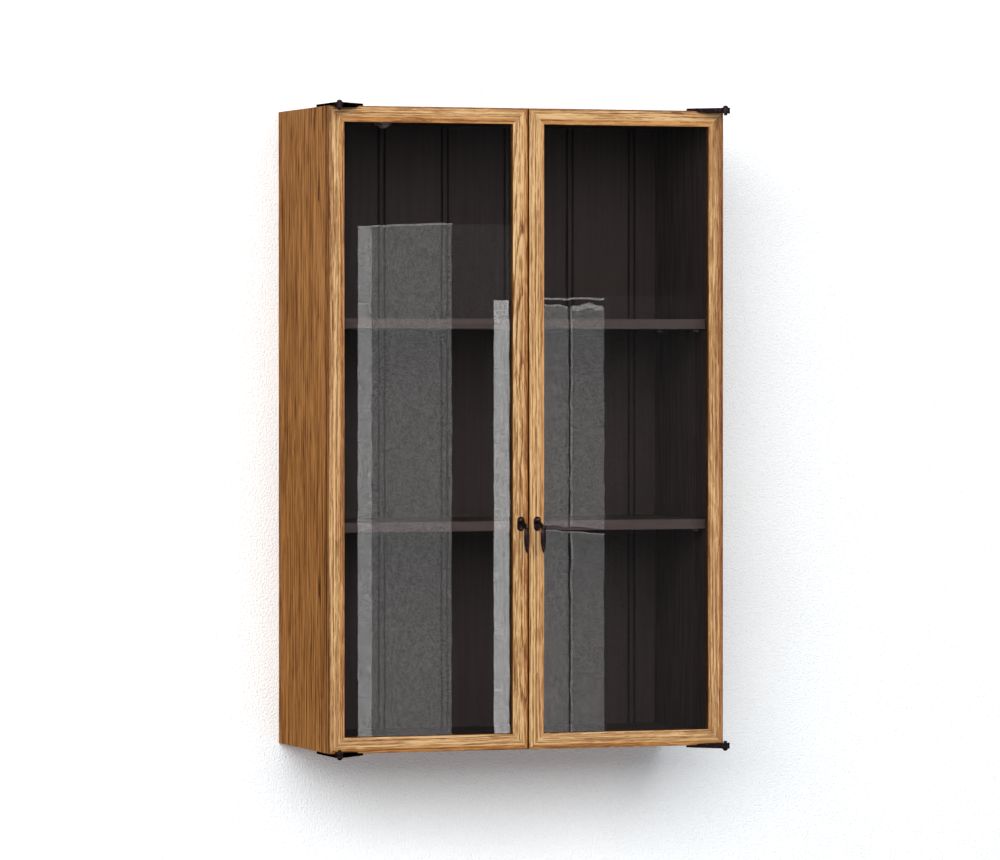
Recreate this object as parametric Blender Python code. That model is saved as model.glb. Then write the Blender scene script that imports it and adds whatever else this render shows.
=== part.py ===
"""Wall mounted oak showcase with two glazed doors. Metres, +Z up, front towards -Y.

The world origin is the middle of the hanging rail's rear face, which bears on the wall.
Every piece is laid out in case coordinates: X = 0 on the middle plane, Y = 0 on the wall,
Z = 0 on the case's underside. Empties sit on the joint axes and carry the moving pieces.
"""
import math

import bmesh
import bpy
from mathutils import Matrix, Vector

# Clearance between touching pieces, and how far a cutter runs past what it cuts
SEAT_GAP = 0.0003
CUT_REACH = 0.005

# Case
CASE_WIDTH = 0.783
CASE_HEIGHT = 1.200
CASE_DEPTH = 0.299
BOARD_THICKNESS = 0.024

# Back panel with pairs of vertical grooves, and the hanging rail behind it
BACK_THICKNESS = 0.006
BACK_RECESS = 0.010
GROOVE_PAIR_PITCH = 0.1275
GROOVE_PAIR_SPACING = 0.0117
GROOVE_WIDTH = 0.0030
GROOVE_DEPTH = 0.0020
RAIL_HEIGHT = 0.070

# Shelves and the pins that carry them
SHELF_THICKNESS = 0.019
SHELF_SETBACK = 0.0145
UPPER_SHELF_TOP = 0.8065
LOWER_SHELF_TOP = 0.4274
SHELF_PIN_RADIUS = 0.0025
SHELF_PIN_IN_BOARD = 0.010
SHELF_PIN_UNDER_SHELF = 0.009
SHELF_PIN_FROM_EDGE = 0.040

# Lamp under the top panel, left of the middle
LAMP_LEFT_OF_MIDDLE = 0.232
LAMP_FROM_WALL = 0.150
LAMP_RADIUS = 0.0155
LAMP_HEIGHT = 0.0045
LAMP_CHAMFER = 0.0015
LENS_RADIUS = 0.0100
LENS_HEIGHT = 0.0055

# Doors: mitred frame section, measured inward from the outer edge and back from the face
DOOR_THICKNESS = 0.018
DOOR_CASE_GAP = 0.0018
DOOR_MEETING_GAP = 0.0025
FRAME_FLAT = 0.0165
FRAME_BAND = 0.0080
FRAME_BEVEL = 0.0060
QUIRK_DEPTH = 0.0008
BAND_DROP = 0.0010
BEVEL_DROP = 0.0032
LIP_THICKNESS = 0.0015
RABBET_WIDTH = 0.0080
EDGE_RADIUS = 0.0025
GLASS_THICKNESS = 0.004
GLASS_EDGE_GAP = 0.0008
BEAD_CHAMFER = 0.003

# Corner pivot hinges
HINGE_INBOARD = 0.0092
HINGE_FORWARD = 0.0324
LEAF_THICKNESS = 0.0045
LEAF_SIDE_GAP = 0.0006
EYE_RADIUS = 0.0085
CASE_LEAF_WAIST = 0.0008
CASE_LEAF_REACH = 0.085
DOOR_LEAF_TIP_INBOARD = 0.070
DOOR_LEAF_TIP_INSET = 0.0015
DOOR_LEAF_CROSSING = 0.0565
DOOR_LEAF_TIP_RADIUS = 0.0020
WEDGE_START = 0.014
WEDGE_HEIGHT = 0.006
WEB_INSET = 0.0008
PIVOT_RADIUS = 0.0025
KNOB_RADIUS = 0.0050
KNOB_HEIGHT = 0.0042
TAIL_RADIUS = 0.0033
TAIL_HEIGHT = 0.0033
TAIL_CHAMFER = 0.0011

# Drop pulls on the meeting stiles
PULL_HEIGHT = 0.4227
PLATE_WIDTH = 0.0139
PLATE_LENGTH = 0.0270
PLATE_THICKNESS = 0.0026
PLATE_CHAMFER = 0.0010
BOSS_RADIUS = 0.0047
BOSS_HEIGHT = 0.0050
BOSS_RISE = 0.0066
POST_RADIUS = 0.0022
POST_IN_STILE = 0.010
PULL_PIVOT_FORWARD = 0.0340
PULL_PIVOT_BELOW = 0.0047
LUG_RADIUS = 0.0034
EAR_RADIUS = 0.0034
EAR_THICKNESS = 0.0017
EAR_ROOT = 0.0028
PULL_PIN_RADIUS = 0.0013
DROP_LENGTH = 0.0497
DROP_WIDTH = 0.0105
DROP_THICKNESS = 0.0066

# The drop swells along half a sine wave, cut short at its shoulder and at its tip
SHOULDER_PHASE = 0.12
TIP_PHASE = 0.94

# Magnetic catch behind the meeting stiles
CATCH_WIDTH = 0.036
CATCH_HEIGHT = 0.030
CATCH_DEPTH = 0.014
STRIKE_WIDTH = 0.013
STRIKE_HEIGHT = 0.016

# Facets of round pieces
ROUND_STEPS = 20
SMALL_ROUND_STEPS = 12
ARC_STEPS = 10
DOME_STEPS = 5
EDGE_STEPS = 3
SHARP_DEGREES = 40

# Places that follow from the sizes above
INNER_HALF_WIDTH = CASE_WIDTH / 2 - BOARD_THICKNESS
PANEL_REACH = INNER_HALF_WIDTH - SEAT_GAP
CEILING = CASE_HEIGHT - BOARD_THICKNESS - SEAT_GAP
BACK_FACE_Y = -(BACK_RECESS + BACK_THICKNESS)
SHELF_FRONT_Y = -CASE_DEPTH + SHELF_SETBACK
DOOR_BACK_Y = -(CASE_DEPTH + DOOR_CASE_GAP)
FRONT_Y = DOOR_BACK_Y - DOOR_THICKNESS
FRAME_WIDTH = FRAME_FLAT + FRAME_BAND + FRAME_BEVEL
GLASS_SEAT = QUIRK_DEPTH + BAND_DROP + BEVEL_DROP + LIP_THICKNESS
RAIL_MIDDLE = CEILING - RAIL_HEIGHT / 2
HINGE_EYE = (HINGE_INBOARD, HINGE_FORWARD)
LEAF_TOP = SEAT_GAP + LEAF_THICKNESS
PULL_INBOARD = DOOR_MEETING_GAP / 2 + FRAME_WIDTH / 2
POST_Z = PULL_HEIGHT + BOSS_RISE
LUG_WIDTH = 2 * (POST_RADIUS + SEAT_GAP)
EAR_INNER = LUG_WIDTH / 2 + SEAT_GAP
EAR_OUTER = EAR_INNER + EAR_THICKNESS
DROP_TOP = LUG_RADIUS + 2 * SEAT_GAP


def clear_scene():
    for obj in list(bpy.data.objects):
        bpy.data.objects.remove(obj, do_unlink=True)


def make_finish(name, colour, roughness, metallic=0.0, transmission=0.0):
    finish = bpy.data.materials.new(name)
    finish.use_nodes = True
    shader = finish.node_tree.nodes["Principled BSDF"]
    shader.inputs["Base Color"].default_value = (*colour, 1.0)
    shader.inputs["Roughness"].default_value = roughness
    shader.inputs["Metallic"].default_value = metallic
    shader.inputs["Transmission Weight"].default_value = transmission
    return finish


def make_axis(name, position, parent=None):
    """Empty on a joint axis, or at the root of the part; position is in case coordinates."""
    axis = bpy.data.objects.new(name, None)
    bpy.context.scene.collection.objects.link(axis)
    axis.parent = parent
    axis["case_position"] = position
    start = Vector(parent["case_position"]) if parent else Vector((0, 0, RAIL_MIDDLE))
    axis.location = Vector(position) - start
    return axis


def add_object(name, shape, carrier, finish=None, smooth=False):
    """Turn a bmesh in case coordinates into a named object carried by an empty."""
    bmesh.ops.recalc_face_normals(shape, faces=shape.faces)
    mesh = bpy.data.meshes.new(name)
    shape.to_mesh(mesh)
    shape.free()
    if finish:
        mesh.materials.append(finish)
    if smooth:
        mesh.shade_smooth()
        mesh.set_sharp_from_angle(angle=math.radians(SHARP_DEGREES))
    obj = bpy.data.objects.new(name, mesh)
    bpy.context.scene.collection.objects.link(obj)
    obj.parent = carrier
    obj.location = -Vector(carrier["case_position"])
    return obj


def combine(target, name, shape, carrier, operation):
    """Boolean a hidden tool shape into the target."""
    tool = add_object(name, shape, carrier)
    tool.hide_render = True
    tool.display_type = "WIRE"
    modifier = target.modifiers.new(name, "BOOLEAN")
    modifier.operation = operation
    modifier.object = tool


def box(low, high):
    shape = bmesh.new()
    low = Vector(low)
    high = Vector(high)
    size = Matrix.Diagonal((*(high - low), 1.0))
    bmesh.ops.create_cube(shape, size=1.0, matrix=Matrix.Translation((low + high) / 2) @ size)
    return shape


def close_loops(shape, loops):
    """Skin a stack of equal loops and cap both ends."""
    count = len(loops[0])
    for lower, upper in zip(loops, loops[1:]):
        for i in range(count):
            j = (i + 1) % count
            shape.faces.new((lower[i], lower[j], upper[j], upper[i]))
    shape.faces.new(loops[0][::-1])
    shape.faces.new(loops[-1])


def add_prism(shape, outline, low, high, place):
    """Extrude a 2D outline between two heights; place turns (a, b, height) into a point."""
    loops = []
    for height in (low, high):
        loops.append([shape.verts.new(place(a, b, height)) for a, b in outline])
    close_loops(shape, loops)


def prism(outline, low, high, place):
    shape = bmesh.new()
    add_prism(shape, outline, low, high, place)
    return shape


def arc(centre, radius, start, end, steps):
    """Points on an arc, both ends included; angles in radians."""
    angles = [start + (end - start) * k / steps for k in range(steps + 1)]
    return [(centre[0] + radius * math.cos(a), centre[1] + radius * math.sin(a)) for a in angles]


def ring(radius, steps, centre=(0.0, 0.0)):
    """Points all the way round a circle."""
    return arc(centre, radius, 0, math.tau, steps)[:-1]


def turned(profile, place, steps):
    """Turn a profile of (radius, height) pairs; a last radius of zero makes a pole."""
    shape = bmesh.new()
    loops = []
    for radius, height in profile:
        points = ring(radius, steps) if radius else [(0.0, 0.0)]
        loops.append([shape.verts.new(place(a, b, height)) for a, b in points])
    for lower, upper in zip(loops, loops[1:]):
        for i in range(steps):
            j = (i + 1) % steps
            top = (upper[0],) if len(upper) == 1 else (upper[j], upper[i])
            shape.faces.new((lower[i], lower[j], *top))
    shape.faces.new(loops[0][::-1])
    if len(loops[-1]) > 1:
        shape.faces.new(loops[-1])
    return shape


def dome(radius, height, base):
    """Quarter ellipse from the rim at base up to the pole, as (radius, height) pairs."""
    angles = [math.pi / 2 * k / DOME_STEPS for k in range(DOME_STEPS)]
    profile = [(radius * math.cos(a), base + height * math.sin(a)) for a in angles]
    return profile + [(0.0, base + height)]


def upright(x, y):
    """Placement for shapes turned about a vertical axis at x, y."""
    return lambda a, b, h: Vector((x + a, y + b, h))


def crosswise(y, z):
    """Placement for shapes that run along X, with the section's centre at y, z."""
    return lambda a, b, h: Vector((h, y + a, z + b))


def forwards(x, z):
    """Placement for shapes that stand on the door face: height is the distance forward."""
    return lambda a, b, h: Vector((x + a, FRONT_Y - h, z + b))


def at_hinge(side, end):
    """Placement in hinge coordinates: inboard from the door's edge, forward of its face, and
    outward from the top or bottom edge."""
    base = CASE_HEIGHT if end > 0 else 0.0
    return lambda a, b, h: Vector((side * (CASE_WIDTH / 2 - a), FRONT_Y - b, base + end * h))


def build_case(root, oak, dark):
    half = CASE_WIDTH / 2
    for name, side in (("left_side", -1), ("right_side", 1)):
        near, far = sorted((side * half, side * INNER_HALF_WIDTH))
        panel = add_object(name, box((near, -CASE_DEPTH, 0), (far, 0, CASE_HEIGHT)), root, oak)
        combine(panel, name + "_pin_holes", shelf_pin_holes(side), root, "DIFFERENCE")
    for name, low in (("top_panel", CASE_HEIGHT - BOARD_THICKNESS), ("bottom_panel", 0.0)):
        panel = box((-PANEL_REACH, -CASE_DEPTH, low), (PANEL_REACH, 0, low + BOARD_THICKNESS))
        add_object(name, panel, root, oak)
    add_object("back_panel", back_panel_shape(), root, dark)
    rail_low = (-PANEL_REACH, -(BACK_RECESS - SEAT_GAP), CEILING - RAIL_HEIGHT)
    add_object("hanging_rail", box(rail_low, (PANEL_REACH, 0, CEILING)), root, oak)


def back_panel_shape():
    """Board with pairs of vertical grooves set out evenly from the middle."""
    pairs = round(PANEL_REACH / GROOVE_PAIR_PITCH)
    middles = [(k + 0.5) * GROOVE_PAIR_PITCH for k in range(-pairs, pairs)]
    room = PANEL_REACH - GROOVE_PAIR_SPACING / 2 - GROOVE_WIDTH
    outline = [(-PANEL_REACH, BACK_FACE_Y)]
    for middle in middles:
        if abs(middle) > room:
            continue
        for groove in (middle - GROOVE_PAIR_SPACING / 2, middle + GROOVE_PAIR_SPACING / 2):
            outline.append((groove - GROOVE_WIDTH / 2, BACK_FACE_Y))
            outline.append((groove, BACK_FACE_Y + GROOVE_DEPTH))
            outline.append((groove + GROOVE_WIDTH / 2, BACK_FACE_Y))
    outline.append((PANEL_REACH, BACK_FACE_Y))
    outline.append((PANEL_REACH, -BACK_RECESS))
    outline.append((-PANEL_REACH, -BACK_RECESS))
    return prism(outline, BOARD_THICKNESS + SEAT_GAP, CEILING, upright(0.0, 0.0))


def shelf_levels():
    """Name and underside height of each shelf."""
    tops = (("upper", UPPER_SHELF_TOP), ("lower", LOWER_SHELF_TOP))
    return [(level, top - SHELF_THICKNESS) for level, top in tops]


def shelf_pin_rows():
    """Name and Y of the front and rear pins, in from the shelf's edges."""
    return (("front", SHELF_FRONT_Y + SHELF_PIN_FROM_EDGE), ("rear", BACK_FACE_Y - SHELF_PIN_FROM_EDGE))


def pin_height(underside):
    return underside - SEAT_GAP - SHELF_PIN_RADIUS


def shelf_pin_holes(side):
    """Blind holes of one side panel, all in one tool shape."""
    holes = bmesh.new()
    outline = ring(SHELF_PIN_RADIUS + SEAT_GAP, SMALL_ROUND_STEPS)
    deep = side * (INNER_HALF_WIDTH + SHELF_PIN_IN_BOARD + SEAT_GAP)
    mouth = side * (INNER_HALF_WIDTH - CUT_REACH)
    for _, underside in shelf_levels():
        for _, y in shelf_pin_rows():
            add_prism(holes, outline, *sorted((deep, mouth)), crosswise(y, pin_height(underside)))
    return holes


def build_shelves(root, dark, steel):
    outline = ring(SHELF_PIN_RADIUS, SMALL_ROUND_STEPS)
    for level, underside in shelf_levels():
        low = (-PANEL_REACH, SHELF_FRONT_Y, underside)
        high = (PANEL_REACH, BACK_FACE_Y - SEAT_GAP, underside + SHELF_THICKNESS)
        add_object(level + "_shelf", box(low, high), root, dark)
        for side, hand in ((-1, "left"), (1, "right")):
            deep = side * (INNER_HALF_WIDTH + SHELF_PIN_IN_BOARD)
            free = side * (INNER_HALF_WIDTH - SHELF_PIN_UNDER_SHELF)
            for row, y in shelf_pin_rows():
                pin = prism(outline, *sorted((deep, free)), crosswise(y, pin_height(underside)))
                add_object(f"{level}_shelf_pin_{hand}_{row}", pin, root, steel, smooth=True)


def build_lamp(root, bronze, lens_finish):
    """Surface lamp: a chamfered housing with a domed lens under it."""
    place = upright(-LAMP_LEFT_OF_MIDDLE, -LAMP_FROM_WALL)
    underside = CEILING - LAMP_HEIGHT
    housing = [
        (LAMP_RADIUS - LAMP_CHAMFER, underside),
        (LAMP_RADIUS, underside + LAMP_CHAMFER),
        (LAMP_RADIUS, CEILING),
    ]
    add_object("lamp_housing", turned(housing, place, ROUND_STEPS), root, bronze, smooth=True)
    rim = underside - SEAT_GAP
    lens = [(radius, -height) for radius, height in dome(LENS_RADIUS, LENS_HEIGHT, -rim)]
    add_object("lamp_lens", turned(lens, place, ROUND_STEPS), root, lens_finish, smooth=True)


def frame_section():
    """Door frame section as (inward, back) points, moulded in front and rabbeted behind."""
    band = FRAME_FLAT + FRAME_BAND
    band_back = QUIRK_DEPTH + BAND_DROP
    corner = arc((EDGE_RADIUS, EDGE_RADIUS), EDGE_RADIUS, math.pi, math.pi * 1.5, EDGE_STEPS)
    moulding = [
        (FRAME_FLAT, 0.0),
        (FRAME_FLAT, QUIRK_DEPTH),
        (band, band_back),
        (FRAME_WIDTH, band_back + BEVEL_DROP),
        (FRAME_WIDTH, GLASS_SEAT),
    ]
    rabbet = FRAME_WIDTH - RABBET_WIDTH
    rear = [(rabbet, GLASS_SEAT), (rabbet, DOOR_THICKNESS), (0.0, DOOR_THICKNESS)]
    return corner + moulding + rear


def bead_section():
    """Glazing bead that fills the rabbet behind the pane, chamfered on its open corner."""
    outer = FRAME_WIDTH - RABBET_WIDTH + SEAT_GAP
    front = GLASS_SEAT + GLASS_THICKNESS + 2 * SEAT_GAP
    return [
        (outer, front),
        (FRAME_WIDTH, front),
        (FRAME_WIDTH, DOOR_THICKNESS - BEAD_CHAMFER),
        (FRAME_WIDTH - BEAD_CHAMFER, DOOR_THICKNESS),
        (outer, DOOR_THICKNESS),
    ]


def mitred_member(section, member, left, right):
    """One mitred length of a door between its left and right edges, from top to bottom."""
    trim = SEAT_GAP / math.sqrt(2)
    shape = bmesh.new()
    loops = []
    for end in (0, 1):
        loop = []
        for inward, back in section:
            cut = inward + trim
            along_x = right - cut if end else left + cut
            along_z = CASE_HEIGHT - cut if end else cut
            x, z = {
                "left": (left + inward, along_z),
                "right": (right - inward, along_z),
                "top": (along_x, CASE_HEIGHT - inward),
                "bottom": (along_x, inward),
            }[member]
            loop.append(shape.verts.new((x, FRONT_Y + back, z)))
        loops.append(loop)
    close_loops(shape, loops)
    return shape


def build_door(hand, side, axis, oak, glass):
    """Mitred frame, pane and glazing beads of one door."""
    left, right = sorted((side * CASE_WIDTH / 2, side * DOOR_MEETING_GAP / 2))
    labels = {"top": "top", "bottom": "bottom", "left": "outer", "right": "meeting"}
    if side > 0:
        labels.update(left="meeting", right="outer")
    for member, label in labels.items():
        kind = "rail" if member == label else "stile"
        length = mitred_member(frame_section(), member, left, right)
        piece = add_object(f"{hand}_{label}_{kind}", length, axis, oak)
        if label == "meeting":
            combine(piece, hand + "_post_hole", post_hole(side), axis, "DIFFERENCE")
        bead = mitred_member(bead_section(), member, left, right)
        add_object(f"{hand}_{label}_glazing_bead", bead, axis, oak)
    margin = FRAME_WIDTH - RABBET_WIDTH + GLASS_EDGE_GAP
    front = FRONT_Y + GLASS_SEAT + SEAT_GAP
    low = (left + margin, front, margin)
    high = (right - margin, front + GLASS_THICKNESS, CASE_HEIGHT - margin)
    add_object(hand + "_glass", box(low, high), axis, glass)


def tangent_angle(point, centre, radius, turn):
    """Angle on a circle where a line from an outside point touches it, on the chosen side."""
    away = Vector(point) - Vector(centre)
    return math.atan2(away.y, away.x) + turn * math.acos(radius / away.length)


def drawn_in(outline, distance):
    """Outline with every point moved towards its middle."""
    points = [Vector(point) for point in outline]
    middle = sum(points, Vector((0, 0))) / len(points)
    return [point + (middle - point).normalized() * distance for point in points]


def door_leaf_outlines():
    """Lower wedge, joining web and top plate of a door leaf, in hinge coordinates."""
    start = (WEDGE_START, SEAT_GAP)
    crossing = (DOOR_LEAF_CROSSING, SEAT_GAP)
    front_touch = tangent_angle(crossing, HINGE_EYE, EYE_RADIUS, 1)
    outer_touch = tangent_angle(start, HINGE_EYE, EYE_RADIUS, -1) + math.tau
    wedge = [start, crossing] + arc(HINGE_EYE, EYE_RADIUS, front_touch, outer_touch, ARC_STEPS)

    clear = EYE_RADIUS + LEAF_SIDE_GAP
    edge = EYE_RADIUS - CASE_LEAF_WAIST + LEAF_SIDE_GAP
    near = front_touch - math.acos(EYE_RADIUS / clear)
    hollow = arc(HINGE_EYE, clear, near, -math.acos(edge / clear), ARC_STEPS)
    side_edge = HINGE_INBOARD + edge
    web = drawn_in([(side_edge, SEAT_GAP), crossing] + hollow, WEB_INSET)
    behind = -(DOOR_THICKNESS - DOOR_LEAF_TIP_INSET)
    tip = (DOOR_LEAF_TIP_INBOARD - DOOR_LEAF_TIP_RADIUS, behind + DOOR_LEAF_TIP_RADIUS)
    tip_arc = arc(tip, DOOR_LEAF_TIP_RADIUS, -math.pi / 2, math.pi / 4, EDGE_STEPS)
    plate = [(side_edge, behind)] + tip_arc + [crossing] + hollow
    return wedge, web, plate


def hinge_pin_profile():
    """Domed knob, shank through both eyes and chamfered tail, as (radius, height) pairs."""
    foot = -WEDGE_HEIGHT - SEAT_GAP
    head = LEAF_TOP + SEAT_GAP
    tail_end = foot - TAIL_HEIGHT
    tail = [(TAIL_RADIUS - TAIL_CHAMFER, tail_end), (TAIL_RADIUS, tail_end + TAIL_CHAMFER)]
    shank = [(TAIL_RADIUS, foot), (PIVOT_RADIUS, foot), (PIVOT_RADIUS, head)]
    return tail + shank + dome(KNOB_RADIUS, KNOB_HEIGHT, head)


def build_hinge(name, place, root, axis, bronze):
    """Corner pivot hinge: case leaf, door leaf and knobbed pin."""
    bore_ring = ring(PIVOT_RADIUS + SEAT_GAP, ROUND_STEPS, HINGE_EYE)
    bore_span = (-WEDGE_HEIGHT - CUT_REACH, LEAF_TOP + CUT_REACH)

    half = EYE_RADIUS - CASE_LEAF_WAIST
    sweep = math.acos(half / EYE_RADIUS)
    strip = arc(HINGE_EYE, EYE_RADIUS, -sweep, math.pi + sweep, ARC_STEPS * 2)
    strip.append((HINGE_INBOARD - half, -CASE_LEAF_REACH))
    strip.append((HINGE_INBOARD + half, -CASE_LEAF_REACH))
    strip_shape = prism(strip, SEAT_GAP, LEAF_TOP, place)
    case_leaf = add_object(name + "_case_leaf", strip_shape, root, bronze, smooth=True)
    combine(case_leaf, name + "_case_bore", prism(bore_ring, *bore_span, place), root, "DIFFERENCE")

    wedge, web, plate = door_leaf_outlines()
    plate_shape = prism(plate, SEAT_GAP, LEAF_TOP, place)
    web_shape = prism(web, -WEDGE_HEIGHT / 2, SEAT_GAP + LEAF_THICKNESS / 2, place)
    wedge_shape = prism(wedge, -WEDGE_HEIGHT, 0.0, place)
    door_leaf = add_object(name + "_door_leaf", plate_shape, axis, bronze, smooth=True)
    combine(door_leaf, name + "_leaf_web", web_shape, axis, "UNION")
    combine(door_leaf, name + "_leaf_wedge", wedge_shape, axis, "UNION")
    combine(door_leaf, name + "_door_bore", prism(bore_ring, *bore_span, place), axis, "DIFFERENCE")

    def on_axis(a, b, h):
        return place(HINGE_INBOARD + a, HINGE_FORWARD + b, h)

    pin = turned(hinge_pin_profile(), on_axis, ROUND_STEPS)
    add_object(name + "_hinge_pin", pin, root, bronze, smooth=True)


def racetrack(width, length, inset):
    """Outline with two round ends, standing upright."""
    radius = width / 2 - inset
    straight = length / 2 - width / 2
    upper = arc((0, straight), radius, 0, math.pi, ARC_STEPS)
    lower = arc((0, -straight), radius, math.pi, math.tau, ARC_STEPS)
    return upper + lower


def post_hole(side):
    """Hole for the post's shank, through the stile's face and through the backplate's boss."""
    outline = ring(POST_RADIUS + SEAT_GAP, SMALL_ROUND_STEPS)
    far = SEAT_GAP + PLATE_THICKNESS + BOSS_HEIGHT + CUT_REACH
    return prism(outline, -POST_IN_STILE - SEAT_GAP, far, forwards(side * PULL_INBOARD, POST_Z))


def pull_pivot(side):
    return Vector((side * PULL_INBOARD, FRONT_Y - PULL_PIVOT_FORWARD, PULL_HEIGHT - PULL_PIVOT_BELOW))


def post_path(side):
    """Post route: straight out of the stile, then a quarter ellipse down to the pull's pivot."""
    pivot = pull_pivot(side)
    bend_y = FRONT_Y - PLATE_THICKNESS - BOSS_HEIGHT
    points = [Vector((pivot.x, FRONT_Y + POST_IN_STILE, POST_Z))]
    for k in range(ARC_STEPS + 1):
        angle = math.pi / 2 * k / ARC_STEPS
        y = bend_y + (pivot.y - bend_y) * math.sin(angle)
        z = pivot.z + (POST_Z - pivot.z) * math.cos(angle)
        points.append(Vector((pivot.x, y, z)))
    return points


def tube(points, radius, steps):
    """Round bar along a route that lies in a plane of constant X."""
    shape = bmesh.new()
    loops = []
    across = Vector((1, 0, 0))
    for k, point in enumerate(points):
        along = points[min(k + 1, len(points) - 1)] - points[max(k - 1, 0)]
        up = along.normalized().cross(across)
        loops.append([shape.verts.new(point + a * across + b * up) for a, b in ring(radius, steps)])
    close_loops(shape, loops)
    return shape


def swell(share):
    """Fullness of the drop at a share of its length, from 0 to 1."""
    return math.sin(math.pi * (SHOULDER_PHASE + (TIP_PHASE - SHOULDER_PHASE) * share))


def drop_shape(pivot):
    """Almond body of a drop, hanging below its pivot; its shoulder is as wide as the ears."""
    shape = bmesh.new()
    loops = []
    for k in range(ARC_STEPS + 1):
        share = k / ARC_STEPS
        half_width = DROP_WIDTH / 2 * swell(share)
        if k < ARC_STEPS / 2:
            half_width = EAR_OUTER + (DROP_WIDTH / 2 - EAR_OUTER) * swell(share)
        half_depth = DROP_THICKNESS / 2 * swell(share)
        z = pivot.z - DROP_TOP - (DROP_LENGTH - DROP_TOP) * share
        loop = []
        for a, b in ring(1.0, SMALL_ROUND_STEPS):
            loop.append(shape.verts.new((pivot.x + half_width * a, pivot.y + half_depth * b, z)))
        loops.append(loop)
    close_loops(shape, loops)
    return shape


def ear_outline():
    """Ear of the drop's fork in (Y, Z) from the pivot: round over the pin, rooted in the body."""
    foot = -(DROP_TOP + EAR_ROOT)
    root_half = DROP_THICKNESS / 2 * swell(0.0)
    return arc((0, 0), EAR_RADIUS, 0, math.pi, ARC_STEPS) + [(-root_half, foot), (root_half, foot)]


def build_backplate(hand, side, axis, bronze):
    """Chamfered racetrack plate with a domed boss, bored for the post."""
    on_face = forwards(side * PULL_INBOARD, PULL_HEIGHT)
    front = SEAT_GAP + PLATE_THICKNESS
    shape = bmesh.new()
    loops = []
    for height, inset in ((SEAT_GAP, 0.0), (front - PLATE_CHAMFER, 0.0), (front, PLATE_CHAMFER)):
        outline = racetrack(PLATE_WIDTH, PLATE_LENGTH, inset)
        loops.append([shape.verts.new(on_face(a, b, height)) for a, b in outline])
    close_loops(shape, loops)
    plate = add_object(hand + "_pull_backplate", shape, axis, bronze, smooth=True)
    profile = [(BOSS_RADIUS, SEAT_GAP + PLATE_THICKNESS / 2)] + dome(BOSS_RADIUS, BOSS_HEIGHT, front)
    boss = turned(profile, forwards(side * PULL_INBOARD, POST_Z), ROUND_STEPS)
    combine(plate, hand + "_pull_boss", boss, axis, "UNION")
    combine(plate, hand + "_plate_hole", post_hole(side), axis, "DIFFERENCE")


def build_pull(hand, side, axis, pull_axis, bronze):
    """Backplate, post, pivot pin and hanging drop of one pull."""
    build_backplate(hand, side, axis, bronze)
    pivot = pull_pivot(side)
    around = crosswise(pivot.y, pivot.z)
    bore_ring = ring(PULL_PIN_RADIUS + SEAT_GAP, SMALL_ROUND_STEPS)
    bore_reach = EAR_OUTER + CUT_REACH
    bore_span = (pivot.x - bore_reach, pivot.x + bore_reach)

    route = tube(post_path(side), POST_RADIUS, SMALL_ROUND_STEPS)
    post = add_object(hand + "_pull_post", route, axis, bronze, smooth=True)
    lug_span = (pivot.x - LUG_WIDTH / 2, pivot.x + LUG_WIDTH / 2)
    lug = prism(ring(LUG_RADIUS, ROUND_STEPS), *lug_span, around)
    combine(post, hand + "_post_lug", lug, axis, "UNION")
    combine(post, hand + "_lug_bore", prism(bore_ring, *bore_span, around), axis, "DIFFERENCE")

    pin_ring = ring(PULL_PIN_RADIUS, SMALL_ROUND_STEPS)
    pin = prism(pin_ring, pivot.x - EAR_OUTER, pivot.x + EAR_OUTER, around)
    add_object(hand + "_pull_pin", pin, axis, bronze, smooth=True)

    drop = add_object(hand + "_pull_drop", drop_shape(pivot), pull_axis, bronze, smooth=True)
    for label, turn in (("near", -1), ("far", 1)):
        ear_span = sorted((pivot.x + turn * EAR_INNER, pivot.x + turn * EAR_OUTER))
        ear = prism(ear_outline(), *ear_span, around)
        combine(drop, f"{hand}_drop_ear_{label}", ear, pull_axis, "UNION")
    combine(drop, hand + "_drop_bore", prism(bore_ring, *bore_span, around), pull_axis, "DIFFERENCE")


def build_catch(root, axes, steel, plastic):
    """Double magnetic catch under the top panel, with a strike plate on each meeting stile."""
    underside = CEILING - CATCH_HEIGHT
    low = (-CATCH_WIDTH / 2, -CASE_DEPTH, underside)
    high = (CATCH_WIDTH / 2, -CASE_DEPTH + CATCH_DEPTH, CEILING)
    add_object("magnetic_catch", box(low, high), root, plastic)
    back = DOOR_BACK_Y + SEAT_GAP
    front = -CASE_DEPTH - SEAT_GAP
    edge = DOOR_MEETING_GAP / 2 + EDGE_RADIUS
    for (hand, side), axis in axes.items():
        near, far = sorted((side * edge, side * (edge + STRIKE_WIDTH)))
        strike = box((near, back, underside), (far, front, underside + STRIKE_HEIGHT))
        add_object(hand + "_strike_plate", strike, axis, steel)


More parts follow.
